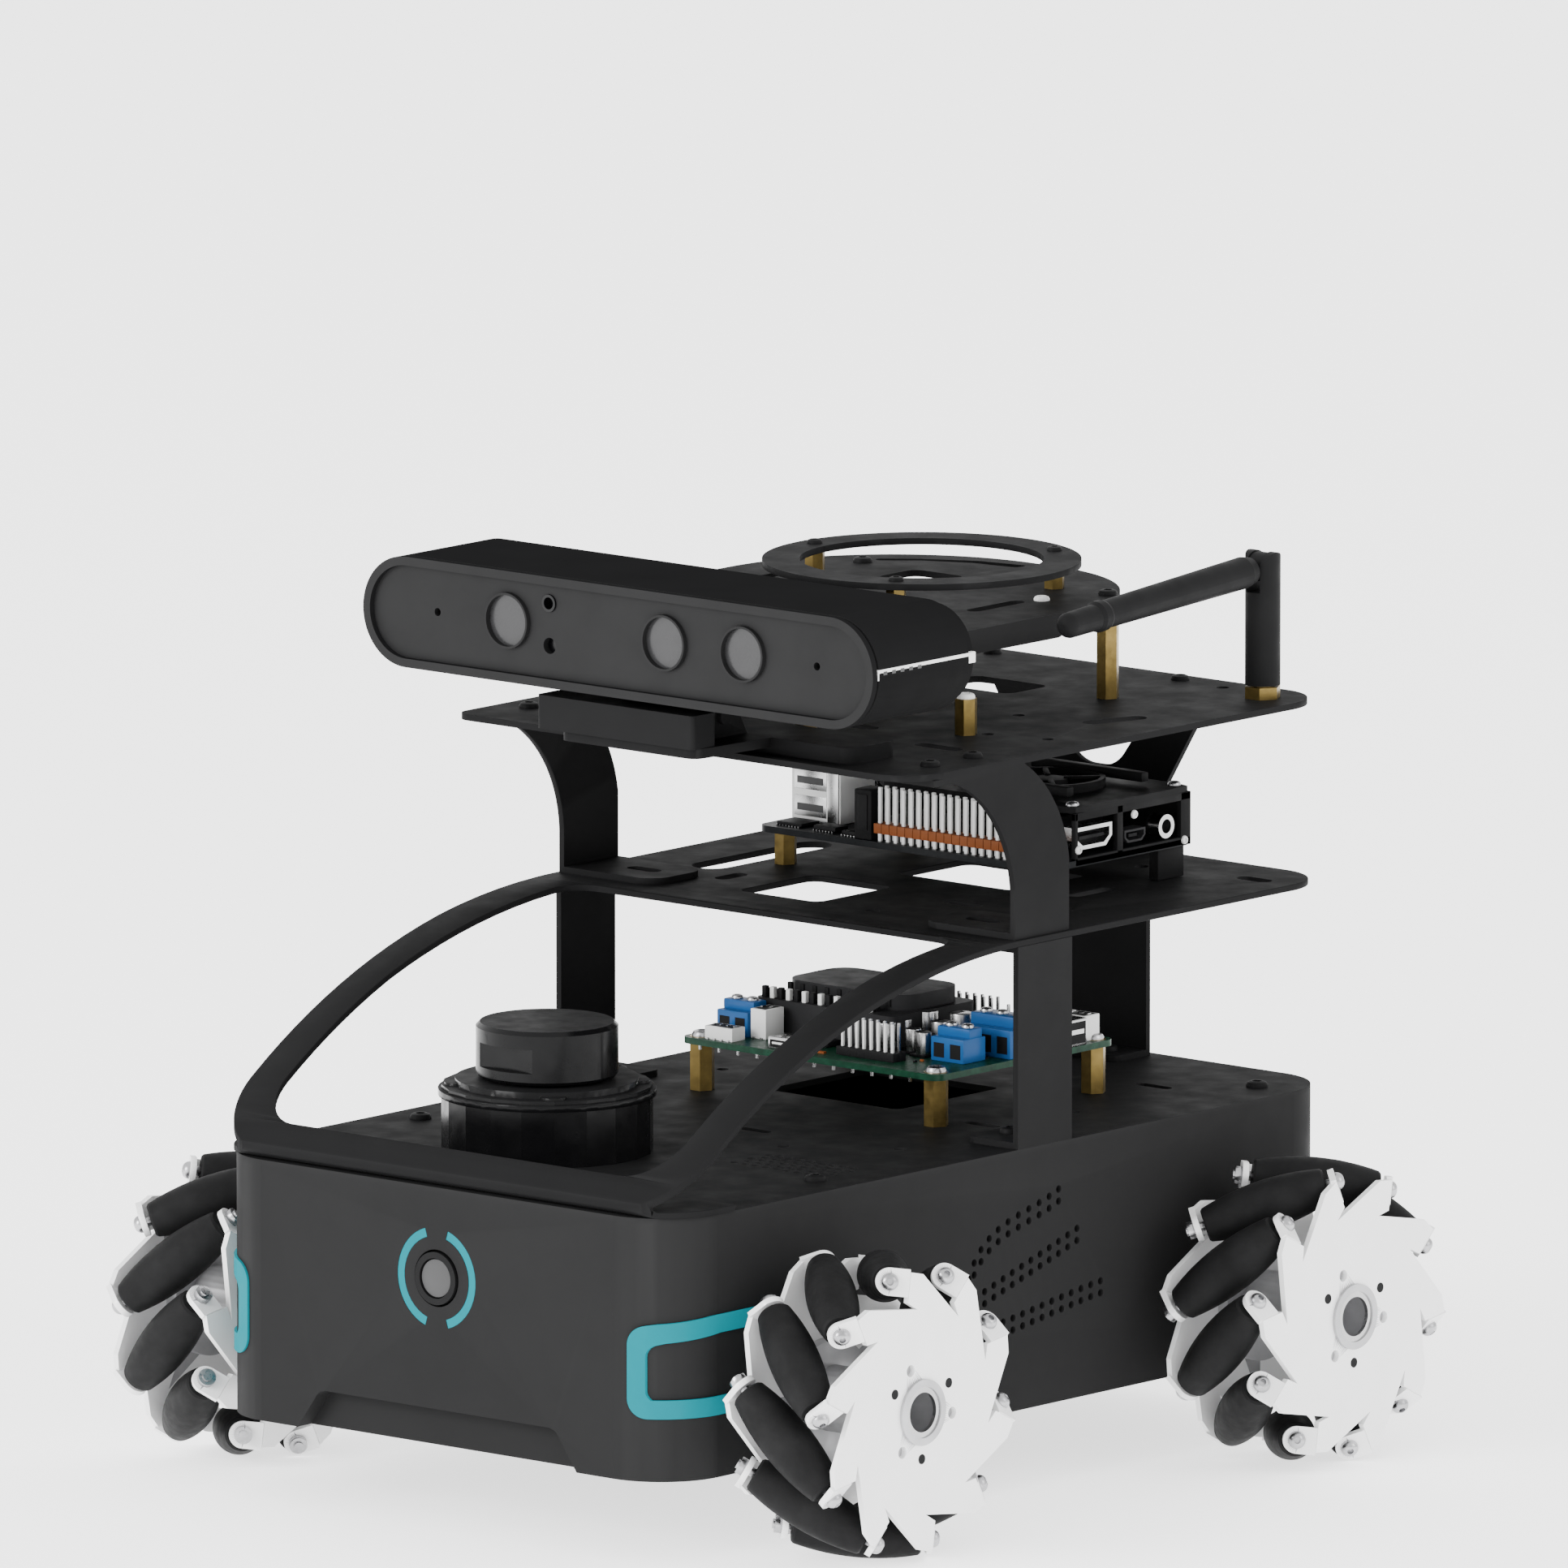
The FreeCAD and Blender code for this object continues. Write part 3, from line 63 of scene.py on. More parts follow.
def noise_node(tree, scale, detail=3.0, stretch=(1, 1, 1), roughness=0.55):
    """Noise in the object's own space, in cycles per metre, stretched along an axis if asked."""
    coords = tree.nodes.new("ShaderNodeTexCoord")
    mapping = tree.nodes.new("ShaderNodeMapping")
    mapping.inputs["Scale"].default_value = stretch
    noise = tree.nodes.new("ShaderNodeTexNoise")
    noise.inputs["Scale"].default_value = scale
    noise.inputs["Detail"].default_value = detail
    noise.inputs["Roughness"].default_value = roughness
    tree.links.new(coords.outputs["Object"], mapping.inputs["Vector"])
    tree.links.new(mapping.outputs["Vector"], noise.inputs["Vector"])
    return noise


def ranged(tree, source, low, high, from_low=0.3, from_high=0.7):
    """Stretch the middle of a noise value over another range."""
    span = tree.nodes.new("ShaderNodeMapRange")
    span.inputs["From Min"].default_value = from_low
    span.inputs["From Max"].default_value = from_high
    span.inputs["To Min"].default_value = low
    span.inputs["To Max"].default_value = high
    tree.links.new(source, span.inputs["Value"])
    return span.outputs["Result"]


def surface(name, color, rough, metallic=0.0, mottle=0.12, mottle_scale=60, grain=900, bump=0.08,
            depth=0.00005, stretch=(1, 1, 1), spread=0.08, coat=0.0, specular=0.5, edge=0.0):
    """Finish with mottled colour, uneven roughness and a fine grain in the normal."""
    material, tree, shader = new_material(name)
    cloud = noise_node(tree, mottle_scale, 4)
    mix = tree.nodes.new("ShaderNodeMix")
    mix.data_type = "RGBA"
    mix.inputs["A"].default_value = [c * (1 - mottle) for c in color] + [1]
    mix.inputs["B"].default_value = [min(1, c * (1 + mottle)) for c in color] + [1]
    tree.links.new(ranged(tree, cloud.outputs["Fac"], 0, 1), mix.inputs["Factor"])
    result = mix.outputs["Result"]
    # Pointy edges are lightened: partly edge wear, partly painted highlight.
    if edge > 0:
        geometry = tree.nodes.new("ShaderNodeNewGeometry")
        edge_wear_and_highlight = tree.nodes.new("ShaderNodeMix")
        edge_wear_and_highlight.data_type = "RGBA"
        edge_wear_and_highlight.inputs["B"].default_value = [min(1, c + edge) for c in color] + [1]
        tree.links.new(ranged(tree, geometry.outputs["Pointiness"], 0, 0.5, 0.52, 0.6), edge_wear_and_highlight.inputs["Factor"])
        tree.links.new(result, edge_wear_and_highlight.inputs["A"])
        result = edge_wear_and_highlight.outputs["Result"]
    tree.links.new(result, shader.inputs["Base Color"])
    patch = noise_node(tree, mottle_scale * 2.7, 5, stretch)
    tree.links.new(ranged(tree, patch.outputs["Fac"], max(0.02, rough - spread), min(1, rough + spread)),
                   shader.inputs["Roughness"])
    fine = noise_node(tree, grain, 4, stretch)
    relief = tree.nodes.new("ShaderNodeBump")
    relief.inputs["Strength"].default_value = bump
    relief.inputs["Distance"].default_value = depth
    tree.links.new(fine.outputs["Fac"], relief.inputs["Height"])
    tree.links.new(relief.outputs["Normal"], shader.inputs["Normal"])
    shader.inputs["Metallic"].default_value = metallic
    shader.inputs["Coat Weight"].default_value = coat
    shader.inputs["Coat Roughness"].default_value = 0.2
    shader.inputs["Specular IOR Level"].default_value = specular
    return material


def light_up(material, color, strength):
    """Let a finish give off light of its own."""
    shader = material.node_tree.nodes["Principled BSDF"]
    shader.inputs["Emission Color"].default_value = list(color) + [1]
    shader.inputs["Emission Strength"].default_value = strength


PAINT = surface("chassis_powder_coat", (0.0160, 0.0160, 0.0163), 0.6, mottle=0.03, mottle_scale=35,
                grain=1600, bump=0.10, specular=0.02, edge=0.012)
# Darker copy of the chassis powder coat for the sheet plates and the chassis top: painted shade for faces
# that fall darker under the light.
PLATE_PAINTED_SHADE = surface("plate_coat_painted_shade", (0.0102, 0.0102, 0.0105), 0.6, mottle=0.03, mottle_scale=40,
                grain=1500, bump=0.10, specular=0.02, edge=0.010)
# Darker coat laid on the lower rear of the camera's right end: painted shade.
PAINTED_SHADE_COAT = surface("painted_shade_coat", (0.0080, 0.0080, 0.0082), 0.7, mottle=0.08, grain=1500, bump=0.10,
                specular=0.01)
CAMERA_BODY = surface("camera_anodised", (0.0100, 0.0100, 0.0103), 0.6, mottle=0.05, grain=2400, bump=0.06,
                      specular=0.0)
CAMERA_FACE = surface("camera_face", (0.0155, 0.0155, 0.0158), 0.5, mottle=0.05, grain=2000, bump=0.03,
                      specular=0.05)
LENS = surface("lens_disc", (0.027, 0.027, 0.028), 0.25, mottle=0.10, mottle_scale=90, bump=0.01, coat=0.15,
               specular=0.2)
LENS_DARK = surface("lens_dark", (0.002, 0.002, 0.0025), 0.2, bump=0.0, specular=0.2)
GLOSS_BLACK = surface("scanner_gloss", (0.0038, 0.0038, 0.0041), 0.22, mottle=0.12, bump=0.02, specular=0.12)
BLACK_PLASTIC = surface("black_plastic", (0.0085, 0.0085, 0.0088), 0.55, mottle=0.12, grain=2200, bump=0.12,
                        specular=0.06)
GREY_PLASTIC = surface("grey_plastic", (0.055, 0.055, 0.056), 0.45, mottle=0.06, grain=1800, bump=0.08,
                       specular=0.15)
GREY_DARK = surface("moulded_grey", (0.020, 0.020, 0.021), 0.5, mottle=0.08, grain=1800, bump=0.08,
                    specular=0.08)
WHITE_PLASTIC = surface("white_plastic", (0.80, 0.80, 0.79), 0.4, mottle=0.04, bump=0.05)
BLUE_PLASTIC = surface("blue_plastic", (0.012, 0.085, 0.26), 0.35, mottle=0.08, bump=0.05, specular=0.15)
ORANGE_PLASTIC = surface("orange_plastic", (0.21, 0.060, 0.016), 0.45, mottle=0.08, bump=0.05, specular=0.1)
RUBBER = surface("roller_rubber", (0.0105, 0.0105, 0.0108), 0.6, mottle=0.2, mottle_scale=140, grain=2600,
                 bump=0.35, depth=0.00008, specular=0.06)
ALLOY = surface("stamped_alloy", (0.92, 0.92, 0.92), 0.36, metallic=0.12, mottle=0.02, mottle_scale=90,
                grain=1400, bump=0.06, stretch=(1, 1, 6))
STEEL = surface("screw_steel", (0.40, 0.40, 0.41), 0.3, metallic=1.0, mottle=0.15, mottle_scale=300,
                grain=2500, bump=0.1)
TIN = surface("socket_tin", (0.42, 0.42, 0.42), 0.26, metallic=1.0, mottle=0.10, grain=1800, bump=0.06)
HUB_METAL = surface("hub_metal", (0.42, 0.42, 0.43), 0.36, metallic=0.6, mottle=0.2, grain=1500, bump=0.1)
BRASS = surface("plated_brass", (0.185, 0.130, 0.040), 0.36, metallic=0.9, mottle=0.25, mottle_scale=200,
                grain=2200, bump=0.1)
GOLD = surface("contact_gold", (0.35, 0.25, 0.08), 0.3, metallic=1.0, mottle=0.06, bump=0.02)
BOARD = surface("solder_resist", (0.006, 0.040, 0.021), 0.35, mottle=0.35, mottle_scale=420, grain=1800,
                bump=0.1, specular=0.15)
BOARD_DARK = surface("dark_resist", (0.006, 0.007, 0.008), 0.4, mottle=0.3, mottle_scale=400, bump=0.1,
                     specular=0.1)
CHIP = surface("chip_epoxy", (0.0095, 0.0095, 0.0100), 0.55, mottle=0.12, grain=3000, bump=0.1, specular=0.08)
CYAN_COLOR = (0.001, 0.120, 0.145)
CYAN = surface("cyan_diffuser", CYAN_COLOR, 0.5, mottle=0.05, mottle_scale=120, bump=0.02, specular=0.03)
light_up(CYAN, CYAN_COLOR, 1.0)
FLOOR = surface("studio_floor", (0.93, 0.93, 0.93), 0.8, mottle=0.005, mottle_scale=3, bump=0.01,
                specular=0.0)
light_up(FLOOR, (1, 1, 1), 1.7)


# ------------------------------------------------------------------ CAD nodes
def dress(node, material, bevel=0.0):
    """Give a CAD node its finish and, where it is sheet metal, fine broken edges."""
    thing = NODES[node]
    thing.data.materials.clear()
    thing.data.materials.append(material)
    if bevel > 0:
        weld = thing.modifiers.new("weld", "WELD")
        weld.merge_threshold = 1e-6
        broken = thing.modifiers.new("edges", "BEVEL")
        broken.width = bevel
        broken.segments = 2
        broken.limit_method = "ANGLE"
        broken.angle_limit = math.radians(38)
        broken.harden_normals = True


def repaint(node, material, test):
    """Another finish for the faces whose centre and normal pass a test."""
    thing = NODES[node]
    thing.data.materials.append(material)
    slot = len(thing.data.materials) - 1
    for face in thing.data.polygons:
        if test(face.center, face.normal):
            face.material_index = slot


dress("chassis", PAINT, 0.0004)
# The sheet plates take the darker plate coat, which carries painted shade.
dress("mid_plate_hoop", PLATE_PAINTED_SHADE, 0.00025)
dress("support_brackets", PLATE_PAINTED_SHADE, 0.00025)
dress("top_plate", PLATE_PAINTED_SHADE, 0.00025)
dress("ring_mount", PLATE_PAINTED_SHADE, 0.00025)
dress("brass_fittings", BRASS)
dress("computer", BLACK_PLASTIC)
dress("control_board", BOARD)
dress("lidar_base", GLOSS_BLACK, 0.0003)
dress("lidar_head", GLOSS_BLACK)
dress("drive_units", HUB_METAL)
dress("lights", CYAN)
dress("depth_camera", CAMERA_BODY, 0.0003)
dress("antenna_base", BLACK_PLASTIC)
dress("antenna_rod", BLACK_PLASTIC)
dress("power_button", BLACK_PLASTIC)

WHEEL_SIDES = {"fl": 1, "fr": -1, "rl": 1, "rr": -1}
ROLLERS = 10
joints = {joint["name"]: joint for joint in frame["joints"]}
for tag in WHEEL_SIDES:
    node = "wheel_" + tag
    dress(node, ALLOY, 0.0002)
    centre = Vector(joints["drive_" + tag]["pos_m"])
    axles = []
    for index in range(ROLLERS):
        roller = "roller_%s_%d" % (tag, index)
        dress(roller, RUBBER)
        spin = joints[roller + "_spin"]
        axles.append((Vector(spin["pos_m"]), Vector(spin["axis"])))

    def is_screw(point, normal):
        """Axle ends, and the round of the axles between the plates."""
        for place, axis in axles:
            offset = point - place
            along = abs(offset.dot(axis))
            across = (offset - axis * offset.dot(axis)).length
            if across < 2.35 * MM and along > 18.3 * MM:
                return True
            if across < 1.25 * MM:
                return True
        return False

    def is_hub(point, normal):
        """Hub between the plates, and the motor shaft in its bore."""
        offset = point - centre
        across = math.hypot(offset.y, offset.z)
        return across < 14.6 * MM and abs(offset.x) < 15.1 * MM or across < 8.3 * MM

    repaint(node, HUB_METAL, is_hub)
    repaint(node, STEEL, is_screw)

LENSES = (-36.3, 14.5, 39.8)
LENS_Z = 212.3
BUTTON_Z = 62.5
face_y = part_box("depth_camera")[0].y
repaint("depth_camera", CAMERA_FACE,
        lambda p, n: n.y < -0.9 and p.y < face_y + 2.4 * MM and p.z > 190 * MM)
repaint("depth_camera", LENS,
        lambda p, n: n.y < -0.9 and face_y + 1.8 * MM < p.y < face_y + 2.1 * MM
        and min(abs(p.x - x * MM) for x in LENSES) < 6.9 * MM and abs(p.z - LENS_Z * MM) < 6.9 * MM)
repaint("depth_camera", LENS_DARK,
        lambda p, n: p.y > face_y + 3.2 * MM and n.y < -0.9 and p.y < face_y + 4 * MM)
# Upward faces of the chassis top get the darker plate coat: painted shade on the top.
repaint("chassis", PLATE_PAINTED_SHADE, lambda p, n: n.z > 0.9 and p.z > 84 * MM)
# Upward faces of the scanner get the lighter matte black: its lighter colour is painted reflection standing
# in for the glossy top's sheen.
for node in ("lidar_base", "lidar_head"):
    repaint(node, BLACK_PLASTIC, lambda p, n: n.z > 0.9)
# Lower rear of the camera body's right end, below the white strip, gets the darker coat: painted shade.
repaint("depth_camera", PAINTED_SHADE_COAT, lambda p, n: p.x > 68 * MM and p.z < 211 * MM and p.y > face_y + 3.5 * MM)
repaint("power_button", GREY_PLASTIC,
        lambda p, n: n.y < -0.9 and math.hypot(p.x, p.z - BUTTON_Z * MM) < 4.7 * MM)


# ------------------------------------------------------------------ mesh building
class Build:
    """Collects solids with several finishes in one mesh."""

    def __init__(self):
        self.mesh = bmesh.new()
        self.finishes = []

    def close(self, verts, finish, bevel=0.0):
        """Give the faces round some vertices a finish, and break their sharp edges."""
        if finish not in self.finishes:
            self.finishes.append(finish)
        index = self.finishes.index(finish)
        faces = {face for vert in verts for face in vert.link_faces}
        for face in faces:
            face.material_index = index
        if bevel > 0:
            edges = {edge for face in faces for edge in face.edges
                     if len(edge.link_faces) == 2 and edge.calc_face_angle(0) > 0.6}
            made = bmesh.ops.bevel(self.mesh, geom=list(edges), offset=bevel, segments=2,
                                   profile=0.6, affect="EDGES", clamp_overlap=True)
            for face in made["faces"]:
                face.material_index = index

    def row(self, points):
        return [self.mesh.verts.new(point) for point in points]

    def bridge(self, rows, wrap=False):
        """Quads from each row of vertices to the next, and from the last to the first if asked."""
        for row, following in zip(rows, rows[1:] + (rows[:1] if wrap else [])):
            for i in range(len(row)):
                j = (i + 1) % len(row)
                self.mesh.faces.new((row[i], row[j], following[j], following[i]))

    def block(self, low, high, finish, bevel=0.00025, turn=None):
        """Box between two corners, turned about its middle if asked."""
        low, high = Vector(low), Vector(high)
        middle = (low + high) / 2
        place = Matrix.Translation(middle)
        if turn is not None:
            place = place @ turn
        size = high - low
        place = place @ Matrix.Diagonal((abs(size.x), abs(size.y), abs(size.z), 1))
        made = bmesh.ops.create_cube(self.mesh, size=1, matrix=place)
        self.close(made["verts"], finish, min(bevel, 0.3 * min(abs(c) for c in size)))

    def rod(self, start, end, radius, finish, sides=28, bevel=0.0):
        """Round bar between two points."""
        start, end = Vector(start), Vector(end)
        run = end - start
        turn = Vector((0, 0, 1)).rotation_difference(run.normalized()).to_matrix().to_4x4()
        place = Matrix.Translation((start + end) / 2) @ turn
        made = bmesh.ops.create_cone(self.mesh, cap_ends=True, segments=sides, radius1=radius,
                                     radius2=radius, depth=run.length, matrix=place)
        self.close(made["verts"], finish, bevel)

    def turned(self, centre, axis, profile, sides):
        """Rows of vertices turned round an axis, from (radius, height) pairs."""
        turn = Vector((0, 0, 1)).rotation_difference(Vector(axis).normalized()).to_matrix()
        centre = Vector(centre)
        rows = []
        for radius, height in profile:
            angles = [2 * math.pi * i / sides for i in range(sides)]
            reach = radius if callable(radius) else lambda angle: radius
            rows.append(self.row(centre + turn @ Vector((
                reach(angle) * math.cos(angle), reach(angle) * math.sin(angle), height)) for angle in angles))
        return rows

    def ring(self, centre, axis, outer, inner, height, finish, sides=48, bevel=0.0):
        """Washer that starts at the centre and grows along the axis."""
        rows = self.turned(centre, axis, ((outer, 0), (outer, height), (inner, height), (inner, 0)), sides)
        self.bridge(rows, wrap=True)
        self.close([vert for row in rows for vert in row], finish, bevel)

    def screw(self, centre, axis, radius, finish=STEEL):
        """Domed machine-screw head with a hexagon recess."""
        def hexagon(angle):
            return 0.42 * radius / math.cos((angle + math.pi / 6) % (math.pi / 3) - math.pi / 6)

        profile = ((radius, 0), (radius, 0.35), (0.86 * radius, 0.75), (0.62 * radius, 0.92),
                   (hexagon, 0.92), (hexagon, 0.35))
        rows = self.turned(centre, axis, [(r, h * radius * 0.6) for r, h in profile], 24)
        self.bridge(rows)
        self.mesh.faces.new(rows[-1])
        self.mesh.faces.new(list(reversed(rows[0])))
        self.close([vert for row in rows for vert in row], finish)

    def slab(self, spots, low, high, finish, bevel=0.0):
        """Flat prism over a closed outline; all sizes in millimetres but the bevel."""
        bottom, top = [self.row(mm(x, y, level) for x, y in spots) for level in (low, high)]
        self.bridge([bottom, top])
        self.mesh.faces.new(list(reversed(bottom)))
        self.mesh.faces.new(top)
        self.close(bottom + top, finish, bevel)

    def finish(self, name, body, slot=None, replaces=None):
        """Turn the mesh into a piece that rides on a body."""
        bmesh.ops.remove_doubles(self.mesh, verts=self.mesh.verts, dist=1e-7)
        bmesh.ops.recalc_face_normals(self.mesh, faces=self.mesh.faces)
        sharp = math.radians(35)
        for face in self.mesh.faces:
            face.smooth = True
        for edge in self.mesh.edges:
            edge.smooth = len(edge.link_faces) == 2 and edge.calc_face_angle(0) < sharp
        data = bpy.data.meshes.new(name)
        self.mesh.to_mesh(data)
        self.mesh.free()
        thing = bpy.data.objects.new(name, data)
        bpy.context.scene.collection.objects.link(thing)
        for item in self.finishes:
            data.materials.append(item)
        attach(thing, body)
        if replaces:
            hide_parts(replaces)


def rounded_outline(x0, x1, y0, y1, radius):
    """Rectangle with rounded corners, anticlockwise."""
    steps = 6
    spots = []
    for cx, cy, start in ((x1 - radius, y1 - radius, 0), (x0 + radius, y1 - radius, 90),
                          (x0 + radius, y0 + radius, 180), (x1 - radius, y0 + radius, 270)):
        for i in range(steps + 1):
            angle = math.radians(start + 90 * i / steps)
            spots.append((cx + radius * math.cos(angle), cy + radius * math.sin(angle)))
    return spots


def mm(*amounts):
    return tuple(a * MM for a in amounts)


# ------------------------------------------------------------------ control board
def terminal(build, x, y, z, width, depth, height, finish, ways=2):
    """Screw terminal: bevelled body, wire mouths in front as flat dark faces (painted shade for the holes),
    screws on top.
    """
    build.block(mm(x, y, z), mm(x + width, y + depth, z + height * 0.72), finish, 0.0003)
    build.block(mm(x, y + depth * 0.28, z + height * 0.7),
                mm(x + width, y + depth * 0.86, z + height), finish, 0.0005)
    pitch = width / ways
    for i in range(ways):
        middle = x + pitch * (i + 0.5)
        build.block(mm(middle - pitch * 0.32, y - 0.05, z + height * 0.12),
                    mm(middle + pitch * 0.32, y + 0.6, z + height * 0.55), CHIP, 0)
        build.screw(mm(middle, y + depth * 0.57, z + height), (0, 0, 1), pitch * 0.3 * MM)


def pin_header(build, x, y, z, count, rows, height, base, plastic, finish, pitch=2.54):
    """Rows of square pins in a notched plastic strip."""
    for i in range(count):
        for j in range(rows):
            px, py = x + (i + 0.5) * pitch, y + (j + 0.5) * pitch
            build.block(mm(px - 1.22, py - 1.22, z), mm(px + 1.22, py + 1.22, z + base), plastic, 0.0002)
            build.block(mm(px - 0.34, py - 0.34, z + base * 0.5),
                        mm(px + 0.34, py + 0.34, z + height), finish, 0.0001)


def chip(build, x, y, z, width, depth, height):
    """Moulded chip with a leg per millimetre on two sides and a dot for its first leg."""
    build.block(mm(x, y, z + 0.25), mm(x + width, y + depth, z + height), CHIP, 0.00015)
    legs = int(width)
    for i in range(legs):
        middle = x + width * (i + 0.5) / legs
        for start in (y - 0.7, y + depth - 0.1):
            build.block(mm(middle - 0.18, start, z + 0.02), mm(middle + 0.18, start + 0.8, z + 0.35), TIN, 0)
    build.rod(mm(x + 1, y + 1, z + height - 0.05), mm(x + 1, y + 1, z + height + 0.02), 0.35 * MM,
              GREY_PLASTIC, sides=12)


def can(build, x, y, z, radius, height):
    """Electrolytic capacitor on a plastic foot, with a dark mark on its top."""
    build.block(mm(x - radius, y - radius, z), mm(x + radius, y + radius, z + 0.7), CHIP, 0.0002)
    build.rod(mm(x, y, z + 0.6), mm(x, y, z + height), radius * MM * 0.96, TIN, bevel=0.0003)
    build.block(mm(x - radius * 0.8, y - radius * 0.8, z + height - 0.02),
                mm(x - radius * 0.1, y + radius * 0.6, z + height + 0.03), CHIP, 0)


def socket_shell(build, x, y, z, width, depth, height, mouth="-y"):
    """Folded metal socket with a flat dark face in its opening, painted shade for the hollow round a white
    tongue, and a pressed spring in its top.
    """
    build.block(mm(x, y, z), mm(x + width, y + depth, z + height), TIN, 0.0004)
    if mouth == "-y":
        build.block(mm(x + 0.7, y - 0.05, z + 0.7), mm(x + width - 0.7, y + 0.5, z + height - 0.7), CHIP, 0)
        build.block(mm(x + 1.4, y - 0.1, z + height * 0.45), mm(x + width - 1.4, y + 0.3, z + height * 0.62),
                    WHITE_PLASTIC, 0)
    else:
        build.block(mm(x + width - 0.5, y + 0.7, z + 0.7),
                    mm(x + width + 0.05, y + depth - 0.7, z + height - 0.7), CHIP, 0)
        build.block(mm(x + width - 0.3, y + 1.4, z + height * 0.45),
                    mm(x + width + 0.1, y + depth - 1.4, z + height * 0.62), WHITE_PLASTIC, 0)
    for i in range(2):
        start = x + width * (0.2 + 0.4 * i)
        build.block(mm(start, y + depth * 0.2, z + height - 0.02),
                    mm(start + width * 0.14, y + depth * 0.7, z + height + 0.12), TIN, 0.0001)


def plug_housing(build, x, y, z, width, depth, height, ways):
    """White crimp connector with metal contacts."""
    build.block(mm(x, y, z), mm(x + width, y + depth, z + height), WHITE_PLASTIC, 0.0003)
    # Flat dark inset on top: painted shade for the contact cavities.
    build.block(mm(x + 0.6, y + 0.6, z + height - 0.1),
                mm(x + width - 0.6, y + depth - 0.6, z + height + 0.02), CHIP, 0)
    for i in range(ways):
        middle = x + width * (i + 0.5) / ways
        build.block(mm(middle - 0.25, y + depth * 0.4, z + height * 0.5),
                    mm(middle + 0.25, y + depth * 0.6, z + height + 0.3), TIN, 0)
        build.block(mm(middle - 0.3, y - 0.5, z), mm(middle + 0.3, y + 0.3, z + 0.5), TIN, 0)


BOARD_LOW = 96.8
BOARD_TOP = 98.4
board = Build()
board.slab(rounded_outline(-42, 42, 12, 80, 3), BOARD_LOW, BOARD_TOP, BOARD, 0.0001)
for x, y in ((-38, 16), (38, 16), (-38, 76), (38, 76)):
    board.ring(mm(x, y, BOARD_TOP), (0, 0, 1), 3.1 * MM, 1.6 * MM, 0.04 * MM, GOLD)
    board.screw(mm(x, y, BOARD_TOP + 0.04), (0, 0, 1), 2.6 * MM)
terminal(board, -37.5, 21, BOARD_TOP, 10, 8.5, 8.6, BLUE_PLASTIC)
plug_housing(board, -27, 21.5, BOARD_TOP, 5, 7, 7.5, 2)
plug_housing(board, -35, 13.4, BOARD_TOP, 9, 5, 3.4, 4)
terminal(board, 26, 40, BOARD_TOP, 15.5, 11, 10, BLUE_PLASTIC, 3)
terminal(board, 26.5, 27.5, BOARD_TOP, 10.5, 8.5, 8.4, BLUE_PLASTIC)
pin_header(board, 4, 18, BOARD_TOP, 8, 1, 9.4, 2.2, CHIP, WHITE_PLASTIC, 2.3)
pin_header(board, 4, 20.4, BOARD_TOP, 8, 1, 9.4, 2.2, CHIP, TIN, 2.3)
socket_shell(board, -14, 13, BOARD_TOP, 9, 7.4, 3.2)
board.slab(rounded_outline(-33, 12, 30, 62, 2), BOARD_TOP, BOARD_TOP + 8.6, GREY_DARK, 0.0008)
board.slab(rounded_outline(-30, 10, 37, 60, 6), BOARD_TOP + 8.5, BOARD_TOP + 12.6, GREY_DARK, 0.0012)
for i in range(9):
    board.block(mm(-28 + 4 * i, 36.6, BOARD_TOP + 9.4), mm(-26.6 + 4 * i, 37.6, BOARD_TOP + 12), CHIP, 0.0003)
for i in range(14):
    board.block(mm(-31.5 + 2.6 * i, 31, BOARD_TOP + 8.5), mm(-30.2 + 2.6 * i, 32.4, BOARD_TOP + 11.4),
                WHITE_PLASTIC if i % 2 else CHIP, 0.0002)
    board.block(mm(-31.5 + 2.6 * i, 33.4, BOARD_TOP + 8.5), mm(-30.2 + 2.6 * i, 34.8, BOARD_TOP + 10.6), CHIP,
                0.0002)
for x, y, radius, height in ((10, 30, 2.5, 7.2), (10, 36, 2.5, 7.2), (17, 32, 2.1, 6.2), (22, 30, 2.1, 6.2),
                             (11, 44, 3.1, 8.4), (19, 40, 2.5, 7.2), (20, 47, 3.1, 8.4)):
    can(board, x, y, BOARD_TOP, radius, height)
for x, y, width, depth, height in ((-20, 22, 6, 5, 1.4), (-10, 23, 7, 5, 1.5), (9, 52, 9, 9, 1.5),
                                   (22, 56, 6, 5, 1.4), (-34, 66, 8, 6, 1.6)):
    chip(board, x, y, BOARD_TOP, width, depth, height)
pin_header(board, -22, 66, BOARD_TOP, 14, 2, 8.4, 2.4, CHIP, TIN)
pin_header(board, 20, 62, BOARD_TOP, 7, 1, 8.4, 2.4, CHIP, TIN)
for i in range(3):
    plug_housing(board, 18 + 7.4 * i, 71, BOARD_TOP, 6.4, 6, 6.4, 3)
socket_shell(board, 29, 56, BOARD_TOP, 13, 13, 6.8, "+x")
for i in range(46):
    x = random.uniform(-39, 39)
    y = random.uniform(14, 78)
    length = random.choice((1.0, 1.6, 2.0))
    size = (length, length * 0.5) if random.random() < 0.5 else (length * 0.5, length)
    if -34 < x < 7 and 31 < y < 63:
        continue
    board.block(mm(x, y, BOARD_TOP), mm(x + size[0], y + size[1], BOARD_TOP + 0.5),
                random.choice((CHIP, TIN, ORANGE_PLASTIC, CHIP)), 0)
for i in range(12):
    x = -36 + 6.2 * i
    board.block(mm(x, 12.3, BOARD_LOW - 1.1), mm(x + 0.6, 12.9, BOARD_LOW), TIN, 0)
board.finish("control_board_detail", "frame", "board_green", "control_board")

